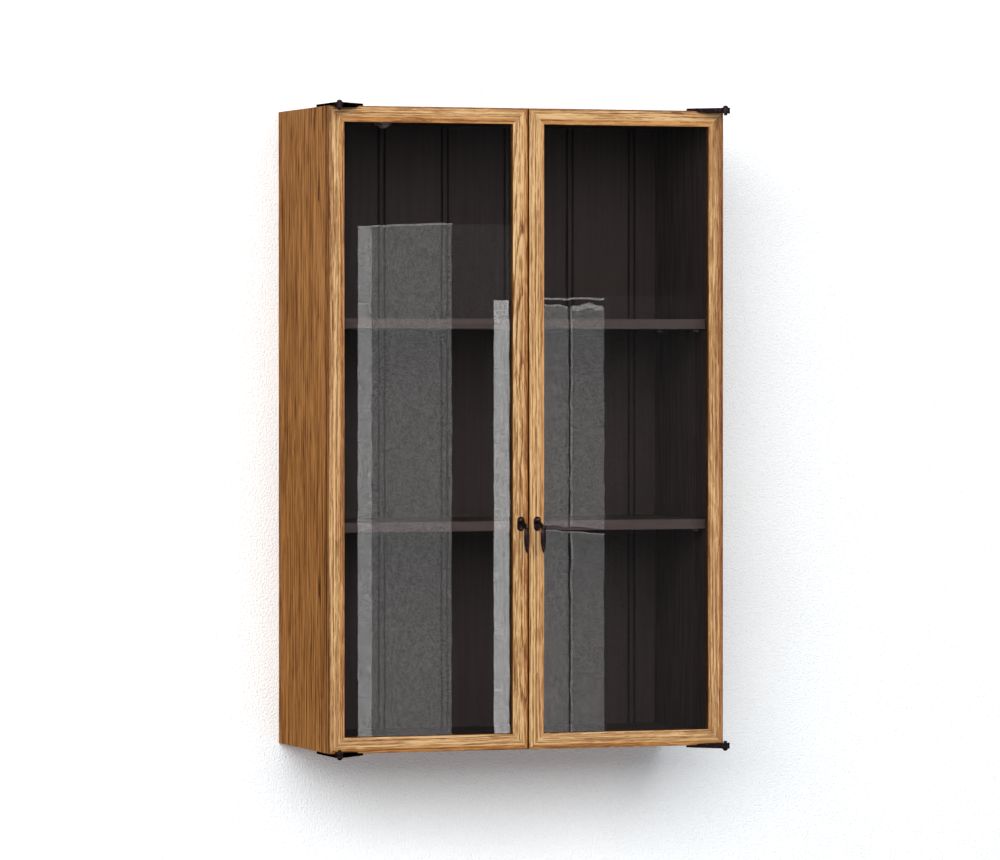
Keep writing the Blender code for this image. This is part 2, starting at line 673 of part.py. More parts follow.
def build():
    clear_scene()
    oak = make_finish("oak", (0.45, 0.24, 0.10), 0.45)
    dark = make_finish("dark_stain", (0.035, 0.026, 0.024), 0.5)
    glass = make_finish("clear_glass", (0.92, 0.95, 0.94), 0.02, 0.0, 1.0)
    bronze = make_finish("dark_bronze", (0.030, 0.022, 0.020), 0.38, 0.85)
    steel = make_finish("plated_steel", (0.50, 0.49, 0.47), 0.35, 1.0)
    plastic = make_finish("brown_plastic", (0.05, 0.035, 0.03), 0.5)
    lens = make_finish("frosted_lens", (0.55, 0.50, 0.47), 0.35)

    root = make_axis("showcase", (0, 0, 0))
    build_case(root, oak, dark)
    build_shelves(root, dark, steel)
    build_lamp(root, bronze, lens)
    axes = {}
    for hand, side in (("left", -1), ("right", 1)):
        hinge = (side * (CASE_WIDTH / 2 - HINGE_INBOARD), FRONT_Y - HINGE_FORWARD, 0)
        axis = make_axis(hand + "_door_axis", hinge, root)
        axes[(hand, side)] = axis
        build_door(hand, side, axis, oak, glass)
        for level, end in (("upper", 1), ("lower", -1)):
            build_hinge(f"{hand}_{level}", at_hinge(side, end), root, axis, bronze)
        pull_axis = make_axis(hand + "_pull_axis", pull_pivot(side), axis)
        build_pull(hand, side, axis, pull_axis, bronze)
    build_catch(root, axes, steel, plastic)


build()
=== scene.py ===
"""Looks of the wall mounted oak showcase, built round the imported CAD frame.

Metres, +Z up, front towards -Y. The wall is the plane Y = 0, and the origin is the middle of the
hanging rail's rear face. Every piece is laid out there at rest and then rides on its CAD body.
"""
import math

import bmesh
import bpy
from mathutils import Matrix, Vector, noise


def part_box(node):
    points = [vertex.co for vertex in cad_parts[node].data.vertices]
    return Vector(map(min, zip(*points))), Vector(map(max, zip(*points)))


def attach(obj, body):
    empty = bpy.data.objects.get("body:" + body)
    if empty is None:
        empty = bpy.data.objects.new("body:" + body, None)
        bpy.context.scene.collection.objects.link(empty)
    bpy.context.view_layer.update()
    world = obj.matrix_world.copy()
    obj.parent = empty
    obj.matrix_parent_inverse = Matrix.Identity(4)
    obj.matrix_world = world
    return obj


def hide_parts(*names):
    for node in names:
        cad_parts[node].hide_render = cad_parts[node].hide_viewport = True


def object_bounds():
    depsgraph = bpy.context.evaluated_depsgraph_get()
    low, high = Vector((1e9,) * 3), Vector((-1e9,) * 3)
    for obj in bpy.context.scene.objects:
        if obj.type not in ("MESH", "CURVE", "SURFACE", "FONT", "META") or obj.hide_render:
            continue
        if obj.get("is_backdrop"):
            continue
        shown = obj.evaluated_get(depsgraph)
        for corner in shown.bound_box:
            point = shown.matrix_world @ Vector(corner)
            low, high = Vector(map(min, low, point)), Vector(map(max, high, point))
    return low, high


HANDS = (("left", -1), ("right", 1))
OUTWARD = {"left": (-1, 0, 0), "right": (1, 0, 0), "top": (0, 0, 1), "bottom": (0, 0, -1)}

# Camera at the photograph's viewing angle
CAMERA_PLACE = (-3.60329, -10.40275, -0.39671)
CAMERA_PITCH = 89.2202
CAMERA_YAW = -19.3732
CAMERA_LENS_MM = 206.02
CAMERA_SENSOR_MM = 36.0

# Case boards
BOARD_ARRIS = 0.0008
# Reach of the painted shade along the boards' front edges, by the gap to the doors
FRONT_SHADE_REACH = 0.0060
SHELF_ARRIS = 0.0010
BACK_GROOVE_PITCH = 0.1275
BACK_GROOVE_SPACING = 0.0117
BACK_GROOVE_WIDTH = 0.0042
BACK_GROOVE_DEPTH = 0.0026
# Tone of the painted shade along the boards' front edges
FRONT_SHADE_TONE = 0.55

# Half of a groove's section from its edge to its floor, as shares of its width and depth
GROOVE_HALF = ((0.62, 0.0), (0.46, 0.10), (0.34, 0.55), (0.16, 0.92))

# Shelf pins, and the lamp with its rim as inset and rise from the side inward
PIN_COLLAR = 0.0012
PIN_CHAMFER = 0.0005
PIN_END = 0.0008
LAMP_SOFT_EDGE = 0.0004
LAMP_RIM = ((0.0, 0.0016), (0.0005, 0.0006), (0.0016, 0.0), (0.0040, 0.0), (0.0046, 0.0006))
LENS_ROOT = 0.0058

# Door frame section, measured inward from the outer edge and back from the face
FRAME_SLOPE = 0.0094
SLOPE_BACK = 0.0027
FRAME_FLAT = 0.0194
LIP_START = 0.0296
BEVEL_BACK = 0.0022
FRAME_WIDTH = 0.0305
# Reach of the painted shade on the outer slope
EDGE_SHADE_REACH = 0.0040
# Reach of the painted highlight on each arris between the flat and the slopes
ARRIS_HIGHLIGHT_REACH = 0.0016
GLASS_SEAT = 0.0065
RABBET_WIDTH = 0.0080
DOOR_THICKNESS = 0.018
MITRE_GAP = 0.0001
SOFT_EDGE = 0.0005
BEAD_GAP = 0.0003
BEAD_RADIUS = 0.0040
GLASS_THICKNESS = 0.004
GLASS_ARRIS = 0.0005

# Finish of the door frames: painted shade on the dark outer edges, a painted highlight on the arrises, and
# glaze with painted shade on the slopes that face right and down
EDGE_SHADE_TONES = {"top": 0.8, "left": 0.2, "right": 0.4, "bottom": 0.3}
ARRIS_HIGHLIGHT_TONE = -0.22
OUTER_GLAZE_AND_SHADE = {"left": 0.1, "right": 0.7, "top": 0.1, "bottom": 0.7}
INNER_GLAZE_AND_SHADE = {"left": 0.55, "right": 0.0, "top": 0.7, "bottom": 0.0}

# Hinges, measured inward from the door's outer edge and forward of its face
LEAF_ARRIS = 0.0005
WELD_REACH = 0.00001
HINGE_SEAT = 0.0003
HINGE_EYE = (0.0092, 0.0324)
EYE_RADIUS = 0.0085
LEAF_THICKNESS = 0.0045
LEAF_WAIST = 0.0077
LEAF_SIDE_GAP = 0.0006
LEAF_CROSSING = 0.0565
LEAF_TIP = (0.0680, -0.0145)
LEAF_TIP_RADIUS = 0.0020
WEDGE_START = 0.014
WEDGE_HEIGHT = 0.006
WEDGE_NOSE_HEIGHT = 0.0026
WEDGE_NOSE_CUT = 0.0040
PIVOT_RADIUS = 0.0025
KNOB_RADIUS = 0.0050
KNOB_HEIGHT = 0.0042
KNOB_LIP = 0.0005
TAIL_RADIUS = 0.0033
TAIL_HEIGHT = 0.0033
TAIL_END = ((0.0, 0.0), (0.55, 0.0), (0.85, 0.0003), (1.0, 0.0011))

# Screws: back from the case leaf's front, inward from the door leaf's edge, and the head's curve
CASE_SCREWS = (("front", 0.070), ("rear", 0.102))
DOOR_SCREWS = (("outer", 0.030), ("inner", 0.050))
DOOR_SCREW_INSET = 0.007
SCREW_RADIUS = 0.0026
SCREW_SUNK = 0.0005
SCREW_RISE = 0.0004
SCREW_SLOT = 0.0007
SCREW_CURVE = ((1.0, -0.5), (1.0, 0.5), (0.93, 0.85), (0.80, 1.0))

# Drop pulls; the plate's edge is given as height and inset
PLATE_WIDTH = 0.0139
PLATE_LENGTH = 0.0270
PLATE_THICKNESS = 0.0026
PLATE_EDGE = ((0.0, 0.0), (0.0012, 0.0), (0.0019, 0.0003), (0.0024, 0.0009), (PLATE_THICKNESS, 0.0018))
BOSS_STEP = 0.0004
BOSS_RADIUS = 0.0047
BOSS_HEIGHT = 0.0050
BOSS_RISE = 0.0066
POST_RADIUS = 0.0024
NECK_RADIUS = 0.0032
POST_IN_STILE = 0.010
LUG_RADIUS = 0.0038
LUG_WIDTH = 0.0038
LUG_SOFT_EDGE = 0.0005
EAR_RADIUS = 0.0030
EAR_INNER = 0.0020
EAR_OUTER = 0.0036
EAR_ROOT = 0.0028
PULL_PIN_RADIUS = 0.0013
PULL_PIN_PROUD = 0.0002
DROP_TOP = 0.0040
DROP_LENGTH = 0.0497
DROP_WIDTH = 0.0105
DROP_THICKNESS = 0.0066
SHOULDER_PHASE = 0.12
TIP_PHASE = 0.995
DROP_FULLNESS = 0.72

# Magnetic catch: each pole's place from the middle, and its corners from the shell's lower front edge
CATCH_ARRIS = 0.0012
POLE_OFFSET = 0.0103
POLE_LOW = (-0.005, -0.0002, 0.0015)
POLE_HIGH = (0.005, 0.003, 0.0145)
PLATE_ARRIS = 0.0003
CATCH_SCREW_DROP = 0.008
CATCH_SCREW_RADIUS = 0.0022

# Facets
ROUND_STEPS = 32
ARC_STEPS = 16
EDGE_STEPS = 6
PIN_STEPS = 20
SCREW_STEPS = 24
DROP_STEPS = 28
LAMP_STEPS = 48
SHARP_DEGREES = 35
ROUNDED_DEGREES = 30

# Oak: width of a year's growth, the wave texture's own length at a scale of one, the step between logs
# and the number of each door's first log
FRAME_RINGS = 0.0062
PANEL_RINGS = 0.0110
RING_WAVE = 0.31416
LOG_STEP = 3.7
DOOR_LOGS = {"left": 10, "right": 15}
# Colour of the glaze and of the painted shade on the frame slopes
GLAZE_AND_SHADE_COLOUR = (0.86, 0.58, 0.28, 1.0)

# Each door member's place in its log: across and into it from the heart, the heart's lean, and the tone
HEARTS = {
    "left_outer_stile": (0.046, 0.020, 0.010, 0.13),
    "left_meeting_stile": (-0.006, 0.022, 0.050, 0.03),
    "left_top_rail": (0.034, 0.026, -0.014, 0.05),
    "left_bottom_rail": (-0.040, 0.018, 0.012, -0.01),
    "right_outer_stile": (-0.050, 0.022, -0.008, 0.20),
    "right_meeting_stile": (0.044, 0.016, 0.006, -0.07),
    "right_top_rail": (-0.030, 0.024, 0.016, -0.14),
    "right_bottom_rail": (0.036, 0.022, -0.012, 0.11),
}

# Wall and light
WALL_SIZE = 8.0
WALL_BEHIND = 0.0004
AMBIENT = 0.32
AMBIENT_TINT = (0.92, 1.0, 1.09, 1.0)
WHITE = (1.0, 1.0, 1.0, 1.0)
LIGHT_AIM = (0.0, -0.15, -0.54)

# Reflections in the panes, set out far beyond the panes along the mirrored sight lines
REFLECTION_REACH = 1.85
LAYER_STEP = 0.02
CARD_WOBBLE = 0.0016
CARD_TINT = (1.0, 0.985, 0.985, 1.0)
ROOM_REACH = 1.05
ROOM_EDGES = (-0.41, 0.41, -1.20, 0.10)
ROOM_BRIGHTNESS = 0.02

# Each card's left, right, bottom and top on the pane, drop to the right, brightness, layer and waviness
REFLECTIONS = (
    ("tall_edge", -0.3338, -0.3065, -1.18, -0.1628, -0.0008, 2.3, 0, 1.0),
    ("tall_face", -0.3065, -0.1501, -1.18, -0.1630, -0.0061, 0.98, 0, 1.0),
    ("tall_rim", -0.3065, -0.1495, -0.1650, -0.1616, -0.0061, 2.2, 1, 1.0),
    ("low_edge", -0.0669, -0.0360, -1.18, -0.2994, 0.0, 3.7, 0, 1.0),
    ("low_left_face", 0.0200, 0.0815, -1.18, -0.3109, 0.0, 1.08, 0, 1.0),
    ("low_split_light", 0.0858, 0.0903, -1.18, -0.3109, 0.0, 1.7, 0, 1.5),
    ("low_right_face", 0.0903, 0.1533, -1.18, -0.3100, 0.0, 0.96, 0, 1.0),
    ("low_rim", 0.0340, 0.1525, -0.2990, -0.2955, -0.0015, 2.4, 0, 2.0),
    ("low_left_crest", 0.0340, 0.0815, -0.3125, -0.3085, 0.0, 2.2, 1, 4.0),
    ("low_right_crest", 0.0895, 0.1525, -0.3165, -0.3070, -0.0015, 2.2, 1, 4.0),
    ("low_ledge", 0.0340, 0.1540, -0.7311, -0.7223, 0.0065, 0.05, 1, 2.0),
    ("low_ledge_light", 0.0340, 0.1540, -0.7332, -0.7312, 0.0063, 2.4, 1, 2.0),
    ("faint_top", -0.1501, -0.0669, -0.3440, -0.1585, 0.0, 0.13, 0, 1.0),
    ("faint_top_right", -0.0669, -0.0300, -0.2994, -0.1585, 0.0, 0.13, 0, 1.0),
    ("faint_face", 0.1533, 0.3375, -1.18, -0.2912, 0.0, 0.07, 0, 1.0),
)

# Dark seams on the tall card: middle of each, and the bottom and top of each stretch
SEAM_WIDTH = 0.0022
SEAM_BRIGHTNESS = 0.63
SEAM_WAVINESS = 0.5
SEAM_MIDDLES = (-0.2931, -0.2819, -0.1706, -0.1594)
SEAM_STRETCHES = ((-1.18, -0.7401), (-0.7154, -0.3563), (-0.3356, -0.1640))

# Dark flags on the right and the floor of a box, and a bright strip given by its upright edges in plan
FLAG_LOW = (-6.0, -3.6, -4.0)
FLAG_HIGH = (3.2, 1.0, 3.0)
FLAG_GLOW = 0.02
STRIP_EDGES = ((1.70, -2.32), (2.05, -1.98))
STRIP_SPAN = (-2.2, 1.6)
STRIP_GLOW = 6.0
STRIP_TINT = (1.0, 0.98, 0.97, 1.0)


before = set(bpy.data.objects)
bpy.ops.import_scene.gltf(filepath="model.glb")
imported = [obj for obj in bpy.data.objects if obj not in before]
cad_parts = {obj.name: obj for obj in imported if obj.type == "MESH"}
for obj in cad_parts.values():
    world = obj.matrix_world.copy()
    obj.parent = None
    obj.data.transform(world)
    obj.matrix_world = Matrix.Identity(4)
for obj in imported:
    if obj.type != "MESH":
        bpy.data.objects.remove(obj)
cad_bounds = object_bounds()
scene = bpy.context.scene


class Graph:
    """Node tree of one material, or of the world, with short calls for the nodes used here."""

    def __init__(self, name, world=None):
        self.owner = world or bpy.data.materials.new(name)
        self.owner.use_nodes = True
        self.tree = self.owner.node_tree
        self.shader = self.tree.nodes["Background" if world else "Principled BSDF"]

    def fill(self, node, inputs):
        """Set or link a node's inputs by name or number."""
        for key, value in inputs.items():
            if isinstance(value, bpy.types.NodeSocket):
                self.tree.links.new(value, node.inputs[key])
            else:
                node.inputs[key].default_value = value

    def node(self, kind, inputs=None, **settings):
        made = self.tree.nodes.new("ShaderNode" + kind)
        for key, value in settings.items():
            setattr(made, key, value)
        self.fill(made, inputs or {})
        return made

    def math(self, operation, *values):
        return self.node("Math", dict(enumerate(values)), operation=operation).outputs[0]

    def vector(self, operation, *values):
        return self.node("VectorMath", dict(enumerate(values)), operation=operation).outputs[0]

    def noise(self, where, across, along=None, detail=2.0, output=0):
        """Noise with a scale across and one along the last axis; output 0 is its value, 1 its colour."""
        stretched = self.vector("MULTIPLY", where, (across, across, along or across))
        made = self.node("TexNoise", {"Vector": stretched, "Scale": 1.0, "Detail": detail})
        return made.outputs[output]

    def ramp(self, value, low, high, start=0.0, end=1.0):
        """Smooth step from start at low to end at high."""
        inputs = {"Value": value, "From Min": low, "From Max": high, "To Min": start, "To Max": end}
        return self.node("MapRange", inputs, interpolation_type="SMOOTHSTEP").outputs[0]

    def colours(self, value, *stops):
        """Colour ramp through (position, colour) stops."""
        made = self.node("ValToRGB", {"Fac": value})
        elements = made.color_ramp.elements
        while len(elements) < len(stops):
            elements.new(0.5)
        for element, (position, colour) in zip(elements, stops):
            element.position = position
            element.color = (*colour, 1.0)
        return made.outputs[0]

    def bump(self, height, distance, strength=1.0):
        inputs = {"Height": height, "Distance": distance, "Strength": strength}
        return self.node("Bump", inputs).outputs[0]

    def attribute(self, name, output="Fac"):
        return self.node("Attribute", attribute_name=name).outputs[output]

    def place(self):
        return self.node("TexCoord").outputs["Object"]

    def surface(self, output):
        """Use another shader's output as the material's surface."""
        self.fill(self.tree.nodes["Material Output"], {"Surface": output})
        return self.owner

    def glow(self, tint, strength):
        """Let the material give off light of its own."""
        return self.surface(self.node("Emission", {"Color": tint, "Strength": strength}).outputs[0])

    def finish(self, **inputs):
        """Fill the shader's sockets, given with underscores for spaces."""
        self.fill(self.shader, {key.replace("_", " "): value for key, value in inputs.items()})
        return self.owner


def make_oak(name, light, middle, dark, gloss, ring_spacing, streak, dash):
    """Oiled oak: growth rings round a heart, long fibres and short open pores.

    Wider rings go with wider fibres. streak and dash count the fibres and pores in a metre of length.
    Glaze darkens and warms the wood; on the frames it also carries painted shade on the slopes that face
    away from the light.
    """
    g = Graph(name)
    grain = g.attribute("grain", "Vector")
    drift = g.vector("SUBTRACT", g.noise(grain, 6.0, 1.3, output=1), (0.5, 0.5, 0.5))
    bent = g.vector("ADD", grain, g.vector("MULTIPLY", drift, (0.020, 0.020, 0.0)))
    inputs = {"Vector": bent, "Scale": RING_WAVE / ring_spacing}
    rings = g.node("TexWave", inputs, wave_type="RINGS", rings_direction="Z", wave_profile="SAW")
    early = g.ramp(rings.outputs["Fac"], 0.40, 0.0)
    across = 1.0 / ring_spacing
    strong = g.ramp(g.noise(bent, 0.45 * across, 0.65 * streak), 0.40, 0.58, 0.10, 1.0)
    early = g.math("MULTIPLY", early, strong)
    fibres = g.ramp(g.noise(bent, 1.7 * across, streak, 4.0), 0.40, 0.60)
    dashes = g.ramp(g.noise(bent, 3.0 * across, dash), 0.52, 0.57)
    dashes = g.math("MULTIPLY", dashes, g.ramp(early, 0.0, 0.5, 0.55, 1.0))
    flecks = g.ramp(g.noise(bent, 2.6 * across, 1.6 * dash), 0.55, 0.62)
    bands = g.math("SUBTRACT", g.noise(bent, 0.20 * across, 0.9), 0.5)
    shade = g.attribute("tone")
    for layer, weight in ((early, 0.48), (fibres, 0.40), (dashes, 0.50), (flecks, -0.22), (bands, 0.7)):
        shade = g.math("MULTIPLY_ADD", layer, weight, shade)
    colour = g.colours(shade, (0.0, light), (0.40, middle), (1.0, dark))
    # The glaze attribute darkens the wood: glaze, plus painted shade on slopes that face away from the
    # light
    inputs = {0: g.attribute("glaze_and_shade"), 6: colour, 7: GLAZE_AND_SHADE_COLOUR}
    glazed = g.node("Mix", inputs, data_type="RGBA", blend_type="MULTIPLY")
    return g.finish(
        Base_Color=glazed.outputs[2],
        Roughness=g.ramp(shade, 0.0, 1.0, 0.42, 0.62),
        Specular_IOR_Level=gloss,
        Normal=g.bump(g.math("SUBTRACT", 1.0, g.math("ADD", dashes, fibres)), 0.00015, 0.7),
    )


def make_dark_stain(name, light, dark, gloss):
    """Dark stained board: the grain only just shows."""
    g = Graph(name)
    grain = g.attribute("grain", "Vector")
    streaks = g.noise(grain, 150.0, 4.0, 3.0)
    pores = g.ramp(g.noise(grain, 520.0, 22.0), 0.48, 0.70)
    shade = g.math("MULTIPLY_ADD", pores, 0.35, g.ramp(streaks, 0.35, 0.68))
    return g.finish(
        Base_Color=g.colours(shade, (0.0, light), (1.0, dark)),
        Roughness=g.ramp(shade, 0.0, 1.0, 0.48, 0.66),
        Specular_IOR_Level=gloss,
        Normal=g.bump(g.math("SUBTRACT", 1.0, pores), 0.0001, 0.5),
    )


def make_hardboard():
    """Raw rear of the back panel, pressed from fibres."""
    g = Graph("hardboard_rear")
    where = g.place()
    fibres = g.noise(where, 420.0, detail=4.0)
    patches = g.noise(where, 14.0)
    shade = g.math("MULTIPLY_ADD", patches, 0.5, fibres)
    colour = g.colours(shade, (0.45, (0.20, 0.115, 0.062)), (1.0, (0.31, 0.20, 0.12)))
    return g.finish(Base_Color=colour, Roughness=0.82, Normal=g.bump(fibres, 0.0003, 0.6))


def make_glass():
    """Clear pane with the faint waviness and uneven tint of real glass."""
    g = Graph("clear_pane")
    where = g.place()
    waves = g.noise(where, 9.0, 5.0, 1.0)
    cloud = g.noise(where, 5.0)
    return g.finish(
        Base_Color=g.colours(cloud, (0.3, (0.965, 0.982, 0.976)), (0.7, (0.975, 0.988, 0.983))),
        Roughness=0.0,
        IOR=1.5,
        Transmission_Weight=1.0,
        Normal=g.bump(waves, 0.00002, 0.3),
    )


def make_bronze(name, dark, bright):
    """Oil rubbed bronze: near black with a plum cast, rubbed brighter in patches."""
    g = Graph(name)
    where = g.place()
    patches = g.noise(where, 160.0, detail=4.0)
    specks = g.noise(where, 1500.0)
    rubbed = g.ramp(patches, 0.52, 0.74)
    colour = g.colours(rubbed, (0.0, dark), (1.0, bright))
    return g.finish(
        Base_Color=colour,
        Metallic=1.0,
        Specular_Tint=(0.25, 0.20, 0.20, 1.0),
        Roughness=g.ramp(specks, 0.3, 0.7, 0.22, 0.34),
        Normal=g.bump(specks, 0.00005, 0.4),
    )


def make_finish(name, fine, detail, cloud, colours, roughness, relief, **sockets):
    """Even finish: slightly cloudy colour, with fine noise in its gloss and its surface."""
    g = Graph(name)
    where = g.place()
    grit = g.noise(where, *fine, detail)
    clouds = g.noise(where, cloud)
    low, high = colours
    return g.finish(
        Base_Color=g.colours(clouds, (0.35, low), (0.7, high)),
        Roughness=g.ramp(grit, 0.3, 0.7, *roughness),
        Normal=g.bump(grit, *relief),
        **sockets,
    )


def make_steel():
    """Nickel plated steel with fine brushing."""
    fine = (2200.0, 90.0)
    colours = ((0.46, 0.45, 0.43), (0.60, 0.58, 0.55))
    relief = (0.00002, 0.4)
    return make_finish("nickel_plate", fine, 3.0, 60.0, colours, (0.26, 0.42), relief, Metallic=1.0)


def make_plastic():
    """Moulded brown plastic with a fine spark texture."""
    fine = (1800.0, 1800.0)
    colours = ((0.042, 0.029, 0.024), (0.060, 0.043, 0.036))
    return make_finish("moulded_plastic", fine, 2.0, 45.0, colours, (0.42, 0.60), (0.00006, 0.6))


def make_lamp_enamel():
    """Baked plum brown enamel of the lamp, slightly orange peeled."""
    fine = (700.0, 700.0)
    colours = ((0.120, 0.094, 0.088), (0.150, 0.120, 0.112))
    return make_finish("lamp_enamel", fine, 2.0, 70.0, colours, (0.34, 0.46), (0.00004, 0.5))


def make_lens():
    """Frosted lamp lens, unlit."""
    fine = (1300.0, 1300.0)
    colours = ((0.20, 0.165, 0.155), (0.25, 0.21, 0.20))
    relief = (0.00005, 0.5)
    return make_finish(
        "frosted_diffuser", fine, 2.0, 90.0, colours, (0.38, 0.55), relief, Subsurface_Weight=0.15
    )


def write_grain(mesh, order, heart, taper, number, tone=0.0):
    """Store each point's place in its log: across and into the board from the heart, and along it.

    order names the axes across, into and along the board. The heart leans by taper, which draws the
    rings out into long arches. Boards of different number come from different logs, and a tone above
    zero makes a darker board.
    """
    axes = ["XYZ".index(letter) for letter in order]
    places = [Vector([point.co[axis] for axis in axes]) for point in mesh.vertices]
    middle = [(min(column) + max(column)) / 2 for column in zip(*places)]
    shift = Vector((heart[0] - middle[0], heart[1] - middle[1], LOG_STEP * number))
    attribute = mesh.attributes.new("grain", "FLOAT_VECTOR", "POINT")
    for entry, place in zip(attribute.data, places):
        lean = Vector((0.0, taper * (place.z - middle[2]), 0.0))
        entry.vector = place + shift + lean
    tones = mesh.attributes.get("tone") or mesh.attributes.new("tone", "FLOAT", "POINT")
    for entry in tones.data:
        entry.value += tone


def add_object(name, data):
    made = bpy.data.objects.new(name, data)
    scene.collection.objects.link(made)
    return made


def add_piece(name, shape, body, materials, replaces=(), grain=None):
    """Turn a bmesh into a smooth shaded piece that rides on a CAD body."""
    bmesh.ops.recalc_face_normals(shape, faces=shape.faces)
    mesh = bpy.data.meshes.new(name)
    shape.to_mesh(mesh)
    shape.free()
    for material in materials:
        mesh.materials.append(material)
    if grain:
        write_grain(mesh, *grain)
    mesh.shade_smooth()
    mesh.set_sharp_from_angle(angle=math.radians(SHARP_DEGREES))
    piece = add_object(name, mesh)
    keep_flats(piece)
    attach(piece, body)
    if replaces:
        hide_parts(*replaces)
    return piece


def keep_flats(piece):
    """Let big faces stay flat and round only the small ones between them."""
    weighted = piece.modifiers.new("flat_faces", "WEIGHTED_NORMAL")
    weighted.keep_sharp = True


def node_box(node):
    low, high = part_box(node)
    return Vector(low), Vector(high)


def bevelled_box(low, high, radius, steps=3):
    """Board with its edges rounded over."""
    shape = bmesh.new()
    size = Matrix.Diagonal((*(high - low), 1.0))
    bmesh.ops.create_cube(shape, size=1.0, matrix=Matrix.Translation((low + high) / 2) @ size)
    soften(shape, radius, steps)
    return shape


def soften(shape, radius, steps=3):
    """Round every sharp edge."""
    shape.normal_update()
    limit = math.radians(ROUNDED_DEGREES)
    edges = [edge for edge in shape.edges if edge.calc_face_angle(0.0) > limit]
    bmesh.ops.bevel(shape, geom=edges, offset=radius, segments=steps, profile=0.5, affect="EDGES")


def paint(shape, index, direction, least=0.9):
    """Give faces that look in a direction another material slot."""
    shape.normal_update()
    direction = Vector(direction)
    for face in shape.faces:
        if face.normal.dot(direction) > least:
            face.material_index = index


def close_loops(shape, loops):
    """Skin a stack of equal loops and cap both ends; a loop of one point is a pole."""
    count = max(len(loop) for loop in loops)
    for lower, upper in zip(loops, loops[1:]):
        for i in range(count):
            j = (i + 1) % count
            start = lower if len(lower) == 1 else (lower[i], lower[j])
            stop = upper if len(upper) == 1 else (upper[j], upper[i])
            shape.faces.new((*start, *stop))
    for cap in (loops[0][::-1], loops[-1]):
        if len(cap) > 1:
            shape.faces.new(cap)


def add_loop(shape, outline, height, place):
    """Points of a 2D outline at a height; place turns (a, b, height) into a point."""
    return [shape.verts.new(place(a, b, height)) for a, b in outline]


def add_prism(shape, outline, low, high, place):
    """Extrude a 2D outline between two heights."""
    close_loops(shape, [add_loop(shape, outline, height, place) for height in (low, high)])


def arc(centre, radius, start, end, steps):
    """Points on an arc, both ends included; angles in degrees."""
    points = []
    for k in range(steps + 1):
        angle = math.radians(start + (end - start) * k / steps)
        points.append((centre[0] + radius * math.cos(angle), centre[1] + radius * math.sin(angle)))
    return points


def ring(radius, steps):
    return arc((0.0, 0.0), radius, 0, 360, steps)[:-1]


def add_turned(shape, profile, place, steps=ROUND_STEPS):
    """Turn a profile of (radius, height) pairs; a radius of zero makes a pole."""
    loops = []
    for radius, height in profile:
        points = ring(radius, steps) if radius else [(0.0, 0.0)]
        loops.append(add_loop(shape, points, height, place))
    close_loops(shape, loops)
    return shape


def dome(radius, height, base, steps=8):
    """Quarter ellipse from the rim at base up to the pole, as (radius, height) pairs."""
    angles = [math.pi / 2 * k / steps for k in range(steps)]
    profile = [(radius * math.cos(a), base + height * math.sin(a)) for a in angles]
    return profile + [(0.0, base + height)]


def upright(x, y, start=0.0, sign=1):
    """Placement about an axis along Z; height runs from start towards sign."""
    return lambda a, b, h: Vector((x + a, y + b, start + sign * h))


def crosswise(y, z):
    """Placement about an axis along X; height is X."""
    return lambda a, b, h: Vector((h, y + a, z + b))


def lengthwise(x, z, start, sign):
    """Placement about an axis along Y; height runs from start towards sign."""
    return lambda a, b, h: Vector((x + a, start + sign * h, z + b))


def make_materials():
    """All the object's materials by short name; tones run from light to dark, for bronze the other way."""
    frame_tones = ((0.75, 0.475, 0.216), (0.46, 0.230, 0.080), (0.15, 0.048, 0.008))
    edge_tones = ((0.46, 0.22, 0.066), (0.30, 0.120, 0.030), (0.07, 0.022, 0.005))
    # Dark brown oak: painted shade in the gap between the doors, also used on the dark faces by the glass
    gap_shade_tones = ((0.16, 0.065, 0.014), (0.10, 0.036, 0.007), (0.04, 0.012, 0.003))
    # Dark oak of the glazing beads, darker than the frame
    bead_tones = ((0.060, 0.026, 0.008), (0.040, 0.016, 0.004), (0.020, 0.007, 0.002))
    panel_tones = ((0.60, 0.250, 0.058), (0.38, 0.136, 0.026), (0.060, 0.016, 0.003))
    board_tones = ((0.0236, 0.0176, 0.0165), (0.0208, 0.0154, 0.0145))
    band_tones = ((0.045, 0.031, 0.030), (0.040, 0.0275, 0.027))
    # Darker board in the grooves of the back: painted shade
    groove_shade_tones = ((0.012, 0.009, 0.009), (0.008, 0.006, 0.006))
    bronze_tones = ((0.014, 0.0086, 0.0094), (0.052, 0.036, 0.038))
    worn_tones = ((0.070, 0.049, 0.047), (0.15, 0.108, 0.102))
    slow_growth = (FRAME_RINGS, 4.0, 26.0)
    return {
        "frame_oak": make_oak("frame_oak", *frame_tones, 0.25, *slow_growth),
        "edge_oak": make_oak("frame_edge_oak", *edge_tones, 0.01, *slow_growth),
        "gap_shade_oak": make_oak("meeting_edge_shade_oak", *gap_shade_tones, 0.01, *slow_growth),
        "bead_oak": make_oak("dark_bead_oak", *bead_tones, 0.01, *slow_growth),
        "panel_oak": make_oak("panel_oak", *panel_tones, 0.01, PANEL_RINGS, 1.1, 8.0),
        "dark": make_dark_stain("dark_stained_board", *board_tones, 0.05),
        "band": make_dark_stain("shelf_edge_band", *band_tones, 0.05),
        "groove": make_dark_stain("groove_painted_shade", *groove_shade_tones, 0.02),
        "hardboard": make_hardboard(),
        "glass": make_glass(),
        "bronze": make_bronze("oiled_bronze", *bronze_tones),
        "worn_bronze": make_bronze("handled_bronze", *worn_tones),
        "lamp": make_lamp_enamel(),
        "steel": make_steel(),
        "plastic": make_plastic(),
        "lens": make_lens(),
    }


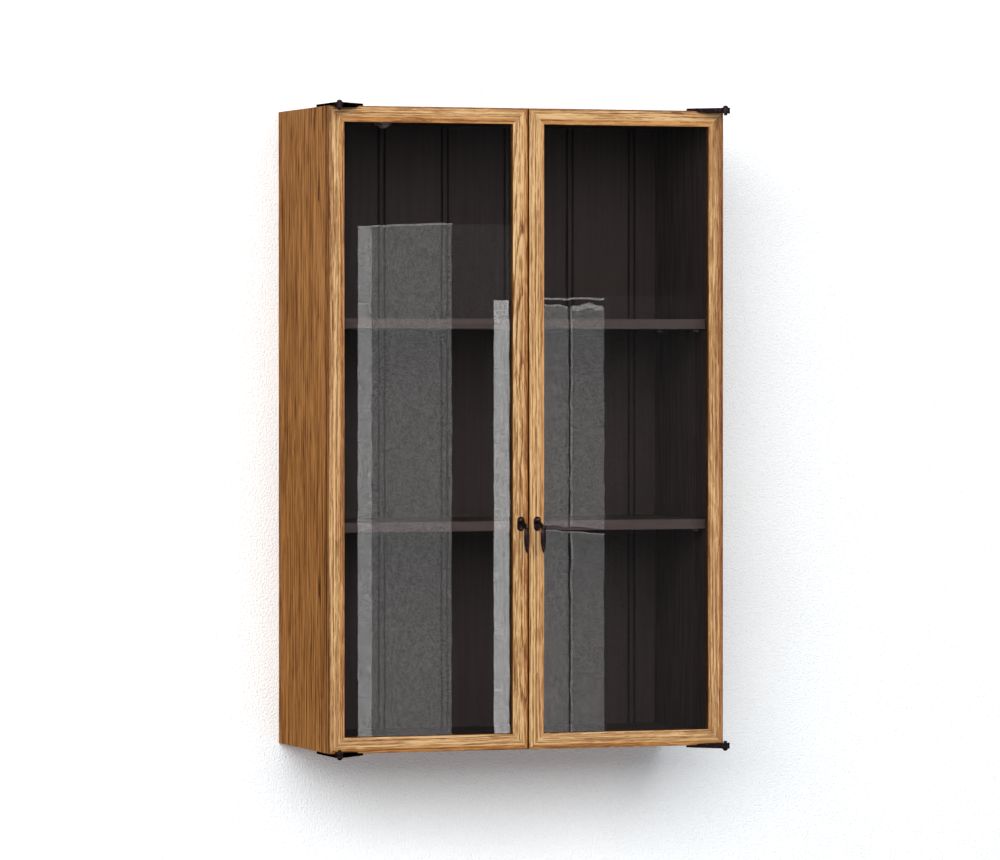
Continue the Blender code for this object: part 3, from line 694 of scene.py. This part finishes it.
def build_case(looks):
    """Four boards, oak outside and stained dark inside, with the back and the hanging rail."""
    boards = (
        ("left_side", (1, 0, 0), "YXZ", (0.105, 0.036), 0.045),
        ("right_side", (-1, 0, 0), "YXZ", (0.09, 0.050), -0.05),
        ("top_panel", (0, 0, -1), "YZX", (0.08, 0.055), 0.06),
        ("bottom_panel", (0, 0, 1), "YZX", (-0.07, 0.060), -0.06),
    )
    for number, (node, inward, order, heart, taper) in enumerate(boards):
        low, high = node_box(node)
        shape = bevelled_box(low, high, BOARD_ARRIS)
        paint_front_shade(shape, low.y)
        paint(shape, 1, inward)
        materials = (looks["panel_oak"], looks["dark"])
        grain = (order, heart, taper, number)
        add_piece(node + "_board", shape, "case", materials, (node,), grain)

    grain = ("XYZ", (0.02, 0.070), 0.02, 4)
    materials = (looks["dark"], looks["hardboard"], looks["groove"])
    add_piece("grooved_back", back_shape(), "case", materials, ("back_panel",), grain)
    shape = bevelled_box(*node_box("hanging_rail"), BOARD_ARRIS)
    grain = ("ZYX", (0.01, 0.050), 0.03, 5)
    add_piece("wall_rail", shape, "case", (looks["panel_oak"],), ("hanging_rail",), grain)


def paint_front_shade(shape, front):
    """Paint shade along a board's front edge, where it meets the gap to the doors."""
    whole = shape.verts[:] + shape.edges[:] + shape.faces[:]
    limit = (0.0, front + FRONT_SHADE_REACH, 0.0)
    bmesh.ops.bisect_plane(shape, geom=whole, plane_co=limit, plane_no=(0.0, 1.0, 0.0))
    tone = shape.verts.layers.float.new("tone")
    for point in shape.verts:
        if point.co.y < front + 2 * BOARD_ARRIS:
            point[tone] = FRONT_SHADE_TONE


def back_shape():
    """Board with pairs of rounded vertical grooves set out evenly from the middle."""
    low, high = node_box("back_panel")
    shape = bmesh.new()
    groove = [(-a, b) for a, b in GROOVE_HALF] + [(a, b) for a, b in reversed(GROOVE_HALF)]
    outline = [(low.x, low.y)]
    pairs = round(high.x / BACK_GROOVE_PITCH)
    for k in range(-pairs, pairs):
        middle = (k + 0.5) * BACK_GROOVE_PITCH
        if abs(middle) > high.x - BACK_GROOVE_SPACING:
            continue
        for side in (-0.5, 0.5):
            centre = middle + side * BACK_GROOVE_SPACING
            for a, b in groove:
                outline.append((centre + a * BACK_GROOVE_WIDTH, low.y + b * BACK_GROOVE_DEPTH))
    outline += [(high.x, low.y), (high.x, high.y), (low.x, high.y)]
    add_prism(shape, outline, low.z, high.z, upright(0.0, 0.0))
    paint(shape, 1, (0, 1, 0))
    # Faces down in the grooves get the darker groove material: painted shade
    for face in shape.faces:
        share = (face.calc_center_median().y - low.y) / BACK_GROOVE_DEPTH
        if 0.04 < share < 1.0:
            face.material_index = 2
    return shape


def build_shelves(looks):
    """Two shelves with a lighter front band, on plated pins with collars."""
    materials = (looks["dark"], looks["band"])
    for number, level in enumerate(("upper", "lower")):
        node = level + "_shelf"
        shape = bevelled_box(*node_box(node), SHELF_ARRIS)
        paint(shape, 1, (0, -1, 0), 0.6)
        grain = ("YZX", (0.05, 0.060), 0.04, 6 + number)
        add_piece(node + "_board", shape, "case", materials, (node,), grain)
        for hand, side in HANDS:
            for row in ("front", "rear"):
                build_shelf_pin(f"{level}_shelf_pin_{hand}_{row}", side, looks["steel"])


def build_shelf_pin(node, side, steel):
    """Pin with a collar against the board and a rounded free end."""
    low, high = node_box(node)
    radius = (high.z - low.z) / 2
    deep, free = (low.x, high.x) if side < 0 else (high.x, low.x)
    face = node_box("left_side")[1].x if side < 0 else node_box("right_side")[0].x
    collar = side * PIN_COLLAR
    shoulder = free + side * PIN_END
    profile = [(radius * 0.8, deep), (radius, deep - side * PIN_CHAMFER), (radius, face)]
    profile += [(radius * 1.28, face), (radius * 1.28, face - collar * 0.7), (radius * 1.1, face - collar)]
    profile += [(radius, face - collar)]
    profile += [(r, shoulder - side * h) for r, h in dome(radius, PIN_END, 0.0, 4)]
    middle = (low + high) / 2
    shape = add_turned(bmesh.new(), profile, crosswise(middle.y, middle.z), PIN_STEPS)
    add_piece(node + "_turned", shape, "case", (steel,), (node,))


def build_lamp(looks):
    """Small surface lamp: turned housing with a stepped rim, and a domed frosted lens."""
    low, high = node_box("lamp_housing")
    middle = (low + high) / 2
    radius = (high.x - low.x) / 2
    place = upright(middle.x, middle.y)
    profile = [(radius - LAMP_SOFT_EDGE, high.z), (radius, high.z - LAMP_SOFT_EDGE)]
    profile += [(radius - inset, low.z + rise) for inset, rise in LAMP_RIM]
    shape = add_turned(bmesh.new(), profile, place, LAMP_STEPS)
    add_piece("lamp_body", shape, "case", (looks["lamp"],), ("lamp_housing",))
    low, high = node_box("lamp_lens")
    radius = (high.x - low.x) / 2
    profile = [(radius, low.z + LENS_ROOT)]
    profile += [(r, -h) for r, h in dome(radius, high.z - low.z, -high.z, 10)]
    shape = add_turned(bmesh.new(), profile, place, LAMP_STEPS)
    add_piece("lamp_diffuser", shape, "case", (looks["lens"],), ("lamp_lens",))


def frame_section():
    """Door frame section as (inward, back) points: outer slope, flat, inner slope, lip and rabbet."""
    outer_rate = SLOPE_BACK / FRAME_SLOPE
    inner_rate = BEVEL_BACK / (LIP_START - FRAME_FLAT)
    slope = [
        (0.0, SLOPE_BACK + 2 * SOFT_EDGE),
        (SOFT_EDGE / 3, SLOPE_BACK + SOFT_EDGE / 2),
        (SOFT_EDGE, SLOPE_BACK - SOFT_EDGE / 4),
        (EDGE_SHADE_REACH, SLOPE_BACK - EDGE_SHADE_REACH * outer_rate),
        (FRAME_SLOPE - ARRIS_HIGHLIGHT_REACH, ARRIS_HIGHLIGHT_REACH * outer_rate),
        (FRAME_SLOPE - SOFT_EDGE, SOFT_EDGE / 4),
    ]
    flat = [(FRAME_SLOPE + SOFT_EDGE, 0.0), (FRAME_SLOPE + ARRIS_HIGHLIGHT_REACH, 0.0)]
    flat += [(FRAME_FLAT - ARRIS_HIGHLIGHT_REACH, 0.0), (FRAME_FLAT - SOFT_EDGE, 0.0)]
    bevel = [
        (FRAME_FLAT + SOFT_EDGE, SOFT_EDGE / 4),
        (FRAME_FLAT + ARRIS_HIGHLIGHT_REACH, ARRIS_HIGHLIGHT_REACH * inner_rate),
        (LIP_START - SOFT_EDGE, BEVEL_BACK - SOFT_EDGE / 4),
        (LIP_START, BEVEL_BACK + SOFT_EDGE / 2),
        (FRAME_WIDTH, GLASS_SEAT),
    ]
    rabbet = FRAME_WIDTH - RABBET_WIDTH
    rear = [
        (rabbet, GLASS_SEAT),
        (rabbet, DOOR_THICKNESS),
        (SOFT_EDGE, DOOR_THICKNESS),
        (0.0, DOOR_THICKNESS - SOFT_EDGE),
    ]
    return slope + flat + bevel + rear


def bead_section():
    """Glazing bead behind the pane, rounded on its open corner."""
    outer = FRAME_WIDTH - RABBET_WIDTH + BEAD_GAP
    front = GLASS_SEAT + GLASS_THICKNESS + 2 * BEAD_GAP
    centre = (FRAME_WIDTH - BEAD_RADIUS, DOOR_THICKNESS - BEAD_RADIUS)
    rounded = arc(centre, BEAD_RADIUS, 0, 90, EDGE_STEPS)
    return [(outer, front), (FRAME_WIDTH, front)] + rounded + [(outer, DOOR_THICKNESS)]


def mitred_member(section, member, low, high):
    """One mitred length of a door that fills the box from low to high."""
    shape = bmesh.new()
    glaze_and_shade = shape.verts.layers.float.new("glaze_and_shade")
    tone = shape.verts.layers.float.new("tone")
    loops = []
    for end in (0, 1):
        loop = []
        for inward, back in section:
            cut = inward + MITRE_GAP
            along_x = high.x - cut if end else low.x + cut
            along_z = high.z - cut if end else low.z + cut
            x, z = {
                "left": (low.x + inward, along_z),
                "right": (high.x - inward, along_z),
                "top": (along_x, high.z - inward),
                "bottom": (along_x, low.z + inward),
            }[member]
            point = shape.verts.new((x, low.y + back, z))
            # Glaze and painted shade for slopes that face away from the light
            point[glaze_and_shade] = glaze_and_painted_shade(inward, member)
            point[tone] = edge_shade_and_highlight(inward, back, member)
            loop.append(point)
        loops.append(loop)
    close_loops(shape, loops)
    bmesh.ops.recalc_face_normals(shape, faces=shape.faces)
    return shape


def glaze_and_painted_shade(inward, member):
    """How much glaze and painted shade a point of the frame section gets.

    The slopes that face right and down, away from the light, get the most: that is painted shade over a
    thin glaze.
    """
    if inward < FRAME_SLOPE:
        return OUTER_GLAZE_AND_SHADE[member]
    if inward > FRAME_FLAT:
        return INNER_GLAZE_AND_SHADE[member]
    return 0.0


def edge_shade_and_highlight(inward, back, member):
    """Painted shade darkens the outer edge of the frame, most on top, and a painted highlight lightens
    both arrises.
    """
    # Painted shade along the outer edge
    if 0.0 < inward <= SOFT_EDGE and back < DOOR_THICKNESS / 2:
        return EDGE_SHADE_TONES[member]
    # Painted highlight along the arrises between the flat and the slopes
    if min(abs(inward - FRAME_SLOPE), abs(inward - FRAME_FLAT)) <= SOFT_EDGE * 1.01:
        return ARRIS_HIGHLIGHT_TONE
    return 0.0


def build_door(hand, side, looks):
    """Mitred frame, beads and pane of one door."""
    body = hand + "_door"
    labels = {"top": "top_rail", "bottom": "bottom_rail", "left": "outer_stile", "right": "meeting_stile"}
    if side > 0:
        labels.update(left="meeting_stile", right="outer_stile")
    low, high = node_box(f"{hand}_{labels['left']}")
    right_high = node_box(f"{hand}_{labels['right']}")[1]
    low.z = node_box(hand + "_bottom_rail")[0].z
    high = Vector((right_high.x, high.y, node_box(hand + "_top_rail")[1].z))
    for number, (member, label) in enumerate(labels.items()):
        node = f"{hand}_{label}"
        across, into, taper, tone = HEARTS[node]
        order = "XYZ" if label.endswith("stile") else "ZYX"
        grain = (order, (across, into), taper, DOOR_LOGS[hand] + number, tone)
        shape = mitred_member(frame_section(), member, low, high)
        outward = Vector(OUTWARD[member])
        paint(shape, 1, outward)
        paint(shape, 2, -outward, 0.8)
        # The faces in the gap between the doors get dark brown oak: painted shade
        edge = looks["gap_shade_oak"] if label == "meeting_stile" else looks["edge_oak"]
        materials = (looks["frame_oak"], edge, looks["gap_shade_oak"])
        add_piece(node + "_moulded", shape, body, materials, (node,), grain)
        bead = f"{hand}_{label.split('_')[0]}_glazing_bead"
        shape = mitred_member(bead_section(), member, low, high)
        add_piece(bead + "_rounded", shape, body, (looks["bead_oak"],), (bead,), grain)
    shape = bevelled_box(*node_box(hand + "_glass"), GLASS_ARRIS, 1)
    pane = add_piece(hand + "_pane", shape, body, (looks["glass"],), (hand + "_glass",))
    pane.visible_shadow = False


def dress_node(node, material):
    """Keep a CAD node, with softened edges and a finished material."""
    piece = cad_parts[node]
    for slot in piece.material_slots:
        slot.link = "OBJECT"
        slot.material = material
    weld = piece.modifiers.new("weld", "WELD")
    weld.merge_threshold = WELD_REACH
    bevel = piece.modifiers.new("arris", "BEVEL")
    bevel.width = LEAF_ARRIS
    bevel.segments = 3
    bevel.limit_method = "ANGLE"
    bevel.angle_limit = math.radians(ROUNDED_DEGREES)
    keep_flats(piece)


def build_hinge(name, side, end, body, looks):
    """Corner pivot hinge: case leaf, door leaf with a tapering wedge, turned pin and slotted screws."""
    bronze = looks["bronze"]
    dress_node(name + "_case_leaf", bronze)
    stile_low, stile_high = node_box(f"{body.split('_')[0]}_outer_stile")
    corner = stile_high.x if side > 0 else stile_low.x
    end_z = stile_high.z if end > 0 else stile_low.z

    def on_door(a, b, h):
        return Vector((corner - side * a, stile_low.y - b, end_z + end * h))

    shape = door_leaf_shape(on_door)
    add_piece(name + "_tapering_leaf", shape, body, (bronze,), (name + "_door_leaf",))
    shape = hinge_pin_shape(name + "_hinge_pin", end)
    add_piece(name + "_knobbed_pin", shape, "case", (bronze,), (name + "_hinge_pin",))

    low, high = node_box(name + "_case_leaf")
    face = high.z if end > 0 else low.z
    for label, back in CASE_SCREWS:
        place = upright((low.x + high.x) / 2, low.y + back, face, end)
        add_screw(f"{name}_case_screw_{label}", place, "case", bronze)
    low, high = node_box(name + "_door_leaf")
    edge = high.x if side > 0 else low.x
    for label, inboard in DOOR_SCREWS:
        place = upright(edge - side * inboard, high.y - DOOR_SCREW_INSET, face, end)
        add_screw(f"{name}_door_screw_{label}", place, body, bronze)


def hinge_pin_shape(node, end):
    """Turned pin with a rounded tail inside the case leaf and a domed knob on the outside."""
    low, high = node_box(node)
    middle = (low + high) / 2
    tip, tail = (high.z, low.z) if end > 0 else (low.z, high.z)
    head = tip - end * KNOB_HEIGHT
    foot = tail + end * TAIL_HEIGHT
    knob = dome(KNOB_RADIUS, KNOB_HEIGHT - KNOB_LIP, KNOB_LIP)
    profile = [(TAIL_RADIUS * share, tail + end * rise) for share, rise in TAIL_END]
    profile += [(TAIL_RADIUS, foot), (PIVOT_RADIUS, foot), (PIVOT_RADIUS, head)]
    profile += [(KNOB_RADIUS * 0.96, head)] + [(r, head + end * h) for r, h in knob]
    return add_turned(bmesh.new(), profile, upright(middle.x, middle.y))


def touch_angle(point, centre, radius, turn):
    """Angle on a circle where a line from an outside point touches it, in degrees."""
    away = Vector(point) - Vector(centre)
    return math.degrees(math.atan2(away.y, away.x) + turn * math.acos(radius / away.length))


def door_leaf_shape(place):
    """Plate on the door's end, a web, and a wedge that tapers from the eye to a slanted nose."""
    start = Vector((WEDGE_START, HINGE_SEAT))
    crossing = Vector((LEAF_CROSSING, HINGE_SEAT))
    eye = Vector(HINGE_EYE)
    front = touch_angle(crossing, eye, EYE_RADIUS, 1)
    outer = touch_angle(start, eye, EYE_RADIUS, -1) + 360
    reach = (eye - crossing).length + EYE_RADIUS
    towards_eye = (eye - crossing).normalized()
    round_eye = arc(eye, EYE_RADIUS, front, outer, ARC_STEPS)
    outline = [start, crossing] + [Vector(point) for point in round_eye]
    shape = bmesh.new()
    lower = []
    for point in outline:
        foot = point + towards_eye * WEDGE_NOSE_CUT if point is crossing else point
        share = (foot - crossing).dot(towards_eye) / reach
        depth = WEDGE_NOSE_HEIGHT + (WEDGE_HEIGHT - WEDGE_NOSE_HEIGHT) * share
        lower.append(shape.verts.new(place(foot.x, foot.y, -depth)))
    close_loops(shape, [lower, add_loop(shape, outline, 0.0, place)])

    clear = EYE_RADIUS + LEAF_SIDE_GAP
    edge = LEAF_WAIST + LEAF_SIDE_GAP
    near = front - math.degrees(math.acos(EYE_RADIUS / clear))
    hollow = arc(eye, clear, near, -math.degrees(math.acos(edge / clear)), ARC_STEPS)
    inner = eye.x + edge
    tip = arc(LEAF_TIP, LEAF_TIP_RADIUS, -90, 45, EDGE_STEPS)
    plate = [(inner, LEAF_TIP[1] - LEAF_TIP_RADIUS)] + tip + [tuple(crossing)] + hollow
    add_prism(shape, plate, HINGE_SEAT, HINGE_SEAT + LEAF_THICKNESS, place)
    web_front = HINGE_SEAT + LEAF_ARRIS
    web = [(inner + LEAF_ARRIS, web_front), (crossing.x - 3 * LEAF_ARRIS, web_front)]
    web += [(a + LEAF_ARRIS, b - LEAF_ARRIS) for a, b in hollow]
    add_prism(shape, web, -WEDGE_NOSE_HEIGHT / 2, LEAF_THICKNESS / 2, place)
    soften(shape, LEAF_ARRIS)
    return shape


def add_screw(name, place, body, material, radius=SCREW_RADIUS):
    """Slotted raised head: a disc with two half rounds on it that leave the slot open."""
    disc = ((radius, -SCREW_SUNK), (radius, SCREW_RISE * 0.25))
    shape = add_turned(bmesh.new(), disc, place, SCREW_STEPS)
    half = SCREW_SLOT / 2
    for side in (1, -1):
        loops = []
        for share, rise in SCREW_CURVE:
            height = SCREW_RISE * rise
            reach = math.sqrt((radius * share) ** 2 - half ** 2)
            start = math.degrees(math.atan2(half, reach))
            outline = arc((0.0, 0.0), radius * share, start, 180 - start, SCREW_STEPS // 2)
            loops.append([shape.verts.new(place(side * a, side * b, height)) for a, b in outline])
        close_loops(shape, loops)
    add_piece(name, shape, body, (material,))


def racetrack(width, length, inset):
    """Outline with two round ends, standing upright."""
    radius = width / 2 - inset
    straight = (length - width) / 2
    upper = arc((0.0, straight), radius, 0, 180, ARC_STEPS)
    lower = arc((0.0, -straight), radius, 180, 360, ARC_STEPS)
    return upper + lower


def build_pull(hand, looks):
    """Backplate with a domed boss, slanting neck, pivot pin and hanging almond drop."""
    bronze = (looks["bronze"],)
    worn = (looks["worn_bronze"],)
    body = hand + "_door"
    low, high = node_box(hand + "_pull_backplate")
    seat = high.y
    middle = (low + high) / 2
    post_z = middle.z + BOSS_RISE
    shape = plate_shape(middle, post_z, seat)
    add_piece(hand + "_pull_plate", shape, body, bronze + worn, (hand + "_pull_backplate",))

    low, high = node_box(hand + "_pull_pin")
    pivot = (low + high) / 2
    around = crosswise(pivot.y, pivot.z)
    shape = bmesh.new()
    add_post(shape, pivot, post_z, seat)
    half = LUG_WIDTH / 2
    rounded = LUG_RADIUS - LUG_SOFT_EDGE
    straight = half - LUG_SOFT_EDGE
    lug = ((rounded, -half), (LUG_RADIUS, -straight), (LUG_RADIUS, straight), (rounded, half))
    add_turned(shape, [(radius, pivot.x + x) for radius, x in lug], around)
    add_piece(hand + "_pull_neck", shape, body, worn, (hand + "_pull_post",))

    reach = EAR_OUTER + PULL_PIN_PROUD
    tip = ((0.0, reach), (PULL_PIN_RADIUS * 0.8, reach), (PULL_PIN_RADIUS, EAR_OUTER))
    profile = [(radius, pivot.x - x) for radius, x in tip]
    profile += [(radius, pivot.x + x) for radius, x in reversed(tip)]
    shape = add_turned(bmesh.new(), profile, around, PIN_STEPS)
    add_piece(hand + "_pull_rivet", shape, body, bronze, (hand + "_pull_pin",))

    shape = bmesh.new()
    add_drop(shape, pivot)
    add_piece(hand + "_almond_drop", shape, hand + "_pull", bronze, (hand + "_pull_drop",))


def plate_shape(middle, post_z, seat):
    """Plate with round ends and a soft edge, and a domed boss that handling has rubbed bright."""
    shape = bmesh.new()
    place = lengthwise(middle.x, middle.z, seat, -1)
    loops = []
    for height, inset in PLATE_EDGE:
        loops.append(add_loop(shape, racetrack(PLATE_WIDTH, PLATE_LENGTH, inset), height, place))
    close_loops(shape, loops)
    profile = [(BOSS_RADIUS * 0.9, PLATE_THICKNESS * 0.5), (BOSS_RADIUS * 1.12, PLATE_THICKNESS * 0.9)]
    profile += dome(BOSS_RADIUS, BOSS_HEIGHT, PLATE_THICKNESS + BOSS_STEP)
    add_turned(shape, profile, lengthwise(middle.x, post_z, seat, -1))
    for face in shape.faces:
        if seat - face.calc_center_median().y > PLATE_THICKNESS + BOSS_STEP / 2:
            face.material_index = 1
    return shape


def add_post(shape, pivot, post_z, seat):
    """Round bar: straight out of the stile, then a tapering neck that slants down to the pull's pivot."""
    bend_y = seat - PLATE_THICKNESS
    points = [Vector((pivot.x, seat + POST_IN_STILE, post_z))]
    radii = [POST_RADIUS]
    for k in range(ARC_STEPS + 1):
        share = k / ARC_STEPS
        y = bend_y + (pivot.y - bend_y) * share
        z = post_z + (pivot.z - post_z) * share
        points.append(Vector((pivot.x, y, z)))
        radii.append(NECK_RADIUS + (POST_RADIUS - NECK_RADIUS) * share)
    across = Vector((1, 0, 0))
    loops = []
    for k, point in enumerate(points):
        along = points[min(k + 1, len(points) - 1)] - points[max(k - 1, 0)]
        up = along.normalized().cross(across)
        loops.append([shape.verts.new(point + a * across + b * up) for a, b in ring(radii[k], PIN_STEPS)])
    close_loops(shape, loops)


def swell(share):
    """Fullness of the drop at a share of its length, from 0 to 1."""
    return math.sin(math.pi * (SHOULDER_PHASE + (TIP_PHASE - SHOULDER_PHASE) * share)) ** DROP_FULLNESS


def add_drop(shape, pivot):
    """Almond body below the pivot, with a fork of two ears that hang on the pin."""
    loops = []
    for k in range(DROP_STEPS + 1):
        share = k / DROP_STEPS
        half_width = DROP_WIDTH / 2 * swell(share)
        if share < 0.5:
            half_width = EAR_OUTER + (DROP_WIDTH / 2 - EAR_OUTER) * swell(share)
        half_depth = DROP_THICKNESS / 2 * swell(share)
        z = pivot.z - DROP_TOP - (DROP_LENGTH - DROP_TOP) * share
        loop = []
        for a, b in ring(1.0, DROP_STEPS):
            loop.append(shape.verts.new((pivot.x + half_width * a, pivot.y + half_depth * b, z)))
        loops.append(loop)
    close_loops(shape, loops)
    foot = -(DROP_TOP + EAR_ROOT)
    root_half = DROP_THICKNESS / 2 * swell(0.0)
    outline = arc((0.0, 0.0), EAR_RADIUS, 0, 180, ARC_STEPS) + [(-root_half, foot), (root_half, foot)]
    for turn in (-1, 1):
        near, far = sorted((pivot.x + turn * EAR_INNER, pivot.x + turn * EAR_OUTER))
        add_prism(shape, outline, near, far, crosswise(pivot.y, pivot.z))


def build_catch(looks):
    """Double magnetic catch: plastic shell, two pole plates in front, and a strike on each door."""
    steel = looks["steel"]
    low, high = node_box("magnetic_catch")
    shape = bevelled_box(low, high, CATCH_ARRIS)
    add_piece("catch_shell", shape, "case", (looks["plastic"],), ("magnetic_catch",))
    for hand, side in HANDS:
        x = side * POLE_OFFSET
        foot = Vector((x, low.y, low.z))
        shape = bevelled_box(foot + Vector(POLE_LOW), foot + Vector(POLE_HIGH), PLATE_ARRIS, 2)
        add_piece(f"catch_{hand}_pole", shape, "case", (steel,))
        place = lengthwise(x, high.z - CATCH_SCREW_DROP, low.y, -1)
        add_screw(f"catch_{hand}_screw", place, "case", steel, CATCH_SCREW_RADIUS)
        node = hand + "_strike_plate"
        shape = bevelled_box(*node_box(node), PLATE_ARRIS, 2)
        add_piece(node + "_stamped", shape, hand + "_door", (steel,), (node,))


def add_stage_mesh(name, points, material, faces=((0, 1, 2, 3),)):
    """Sheet that belongs to the stage; four corners need no list of faces."""
    mesh = bpy.data.meshes.new(name)
    mesh.from_pydata(points, [], faces)
    mesh.materials.append(material)
    sheet = add_object(name, mesh)
    sheet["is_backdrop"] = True
    return sheet


def hide_from(sheet, *rays):
    """Keep a stage sheet out of the given kinds of ray."""
    for ray in rays:
        setattr(sheet, "visible_" + ray, False)


def upright_corners(start, stop, low, high):
    """Corners of an upright sheet between two points of the plan."""
    return [(*start, low), (*stop, low), (*stop, high), (*start, high)]


def build_wall():
    """White plastered wall, open from behind so that the back of the case can be seen."""
    g = Graph("plaster_wall")
    where = g.place()
    stipple = g.noise(where, 260.0)
    cloud = g.noise(where, 3.0)
    g.finish(
        Base_Color=g.colours(cloud, (0.3, (1.26, 1.265, 1.26)), (0.7, (1.30, 1.305, 1.30))),
        Roughness=0.9,
        Specular_IOR_Level=0.0,
        Normal=g.bump(stipple, 0.0035, 0.9),
    )
    behind = g.node("NewGeometry").outputs["Backfacing"]
    inputs = {0: behind, 1: g.shader.outputs[0], 2: g.node("BsdfTransparent").outputs[0]}
    g.surface(g.node("MixShader", inputs).outputs[0])
    half = WALL_SIZE / 2
    corners = upright_corners((-half, WALL_BEHIND), (half, WALL_BEHIND), -half, half)
    hide_from(add_stage_mesh("wall", corners, g.owner), "shadow", "diffuse")


def build_reflections():
    """What the panes mirror: a dark room with a few pale uprights, far in front of the case.

    Each card is set out by where it shows on the panes, and pushed out along the mirrored sight lines.
    """
    pane_y = node_box("left_glass")[0].y
    eye = Vector(CAMERA_PLACE)
    eye.y = 2 * pane_y - eye.y

    def push_out(reach):
        return lambda x, z: eye + (Vector((x, pane_y, z)) - eye) * reach

    add_card("dark_room", push_out(REFLECTION_REACH * ROOM_REACH), ROOM_EDGES, 0.0, ROOM_BRIGHTNESS, 1.0)
    for name, *edges, tilt, brightness, layer, waviness in REFLECTIONS:
        place = push_out(REFLECTION_REACH - layer * LAYER_STEP)
        add_card(name, place, edges, tilt, brightness, waviness)
    place = push_out(REFLECTION_REACH - LAYER_STEP)
    for number, middle in enumerate(SEAM_MIDDLES):
        for level, (bottom, top) in enumerate(SEAM_STRETCHES):
            edges = (middle - SEAM_WIDTH / 2, middle + SEAM_WIDTH / 2, bottom, top)
            add_card(f"tall_seam_{number}_{level}", place, edges, 0.0, SEAM_BRIGHTNESS, SEAM_WAVINESS)


def add_card(name, place, edges, tilt, brightness, waviness):
    """Glowing speckled card with wavy edges, seen only in mirrors; place turns (x, z) into a point."""
    left, right, bottom, top = edges
    columns = 24
    rows = 60
    seed = 31.0 * left + 17.0 * top
    wobble = CARD_WOBBLE * waviness
    points = []
    for row in range(rows + 1):
        for column in range(columns + 1):
            share = column / columns
            x = left + (right - left) * share
            z = bottom + (top - bottom) * row / rows - tilt * share
            x += wobble * noise.noise(Vector((seed, 40.0 * z, 12.0 * x)))
            z += wobble * noise.noise(Vector((45.0 * x, seed, 3.0 * z)))
            points.append(place(x, z))
    faces = []
    for row in range(rows):
        for column in range(columns):
            first = row * (columns + 1) + column
            faces.append((first, first + 1, first + columns + 2, first + columns + 1))
    g = Graph(name + "_glow")
    speckle = g.noise(g.place(), 250.0, detail=1.0)
    strength = g.ramp(speckle, 0.28, 0.72, brightness * 0.40, brightness * 1.60)
    card = add_stage_mesh(name, points, g.glow(CARD_TINT, strength), faces)
    hide_from(card, "camera", "diffuse", "shadow")


def build_gloss_sheets():
    """Sheets seen only in mirrors that shape the gloss of the metal.

    Dark flags to the right and below keep gloss off what faces away from the key. A tall bright strip
    to the right draws the edge of the drops.
    """
    flag = Graph("dark_flag").glow(WHITE, FLAG_GLOW)
    strip = Graph("strip_glow").glow(STRIP_TINT, STRIP_GLOW)
    left, front, floor = FLAG_LOW
    right, rear, top = FLAG_HIGH
    below = [(left, rear, floor), (right, rear, floor), (right, front, floor), (left, front, floor)]
    sheets = (
        ("right_flag", upright_corners((right, rear), (right, front), floor, top), flag),
        ("floor_flag", below, flag),
        ("right_strip", upright_corners(*STRIP_EDGES, *STRIP_SPAN), strip),
    )
    for name, corners, material in sheets:
        sheet = add_stage_mesh(name, corners, material)
        hide_from(sheet, "camera", "diffuse", "transmission", "shadow")


def add_softbox(name, azimuth, elevation, distance, size, power):
    """Soft lamp aimed at the case; azimuth 0 is straight in front and 90 is from the right."""
    data = bpy.data.lights.new(name, "AREA")
    data.shape = "RECTANGLE"
    data.size, data.size_y = size
    data.energy = power
    lamp = add_object(name, data)
    turn = math.radians(azimuth)
    rise = math.radians(elevation)
    out = Vector((math.sin(turn) * math.cos(rise), -math.cos(turn) * math.cos(rise), math.sin(rise)))
    lamp.location = Vector(LIGHT_AIM) + out * distance
    lamp.rotation_euler = (-out).to_track_quat("-Z", "Y").to_euler()
    lamp.visible_camera = False


def build_lights():
    add_softbox("key_softbox", azimuth=-20, elevation=20.5, distance=10.0, size=(13.0, 5.5), power=985)
    add_softbox("left_fill", azimuth=-80, elevation=5, distance=5.0, size=(2.2, 2.8), power=5)
    add_softbox("rear_fill", azimuth=180, elevation=10, distance=4.0, size=(1.0, 1.4), power=80)


def build_world():
    """White where it is seen, also in mirrors and through glass, and a cool dim fill for the rest."""
    scene.world = bpy.data.worlds.new("studio")
    g = Graph("studio", scene.world)
    path = g.node("LightPath").outputs
    seen = g.math("MAXIMUM", path["Is Camera Ray"], path["Is Glossy Ray"])
    seen = g.math("MAXIMUM", seen, path["Is Transmission Ray"])
    seen = g.math("MULTIPLY", seen, g.math("LESS_THAN", path["Diffuse Depth"], 0.5))
    strength = g.math("ADD", g.math("MULTIPLY", seen, 1.0 - AMBIENT), AMBIENT)
    tint = g.node("Mix", {0: seen, 6: AMBIENT_TINT, 7: WHITE}, data_type="RGBA")
    g.finish(Color=tint.outputs[2], Strength=strength)


def build_camera():
    data = bpy.data.cameras.new("photo_camera")
    data.lens = CAMERA_LENS_MM
    data.sensor_width = CAMERA_SENSOR_MM
    data.sensor_fit = "HORIZONTAL"
    data.clip_end = 100.0
    camera = add_object("photo_camera", data)
    camera.location = CAMERA_PLACE
    camera.rotation_euler = (math.radians(CAMERA_PITCH), 0.0, math.radians(CAMERA_YAW))
    scene.camera = camera


def write_sizes():
    sizes = {"cad": cad_bounds, "visual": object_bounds()}
    {name: [list(corner) for corner in box] for name, box in sizes.items()}


def build():
    looks = make_materials()
    build_case(looks)
    build_shelves(looks)
    build_lamp(looks)
    for hand, side in HANDS:
        build_door(hand, side, looks)
        for level, end in (("upper", 1), ("lower", -1)):
            build_hinge(f"{hand}_{level}", side, end, hand + "_door", looks)
        build_pull(hand, looks)
    build_catch(looks)
    build_wall()
    build_reflections()
    build_gloss_sheets()
    build_lights()
    build_world()
    build_camera()
    scene.view_settings.view_transform = "Standard"
    write_sizes()


build()
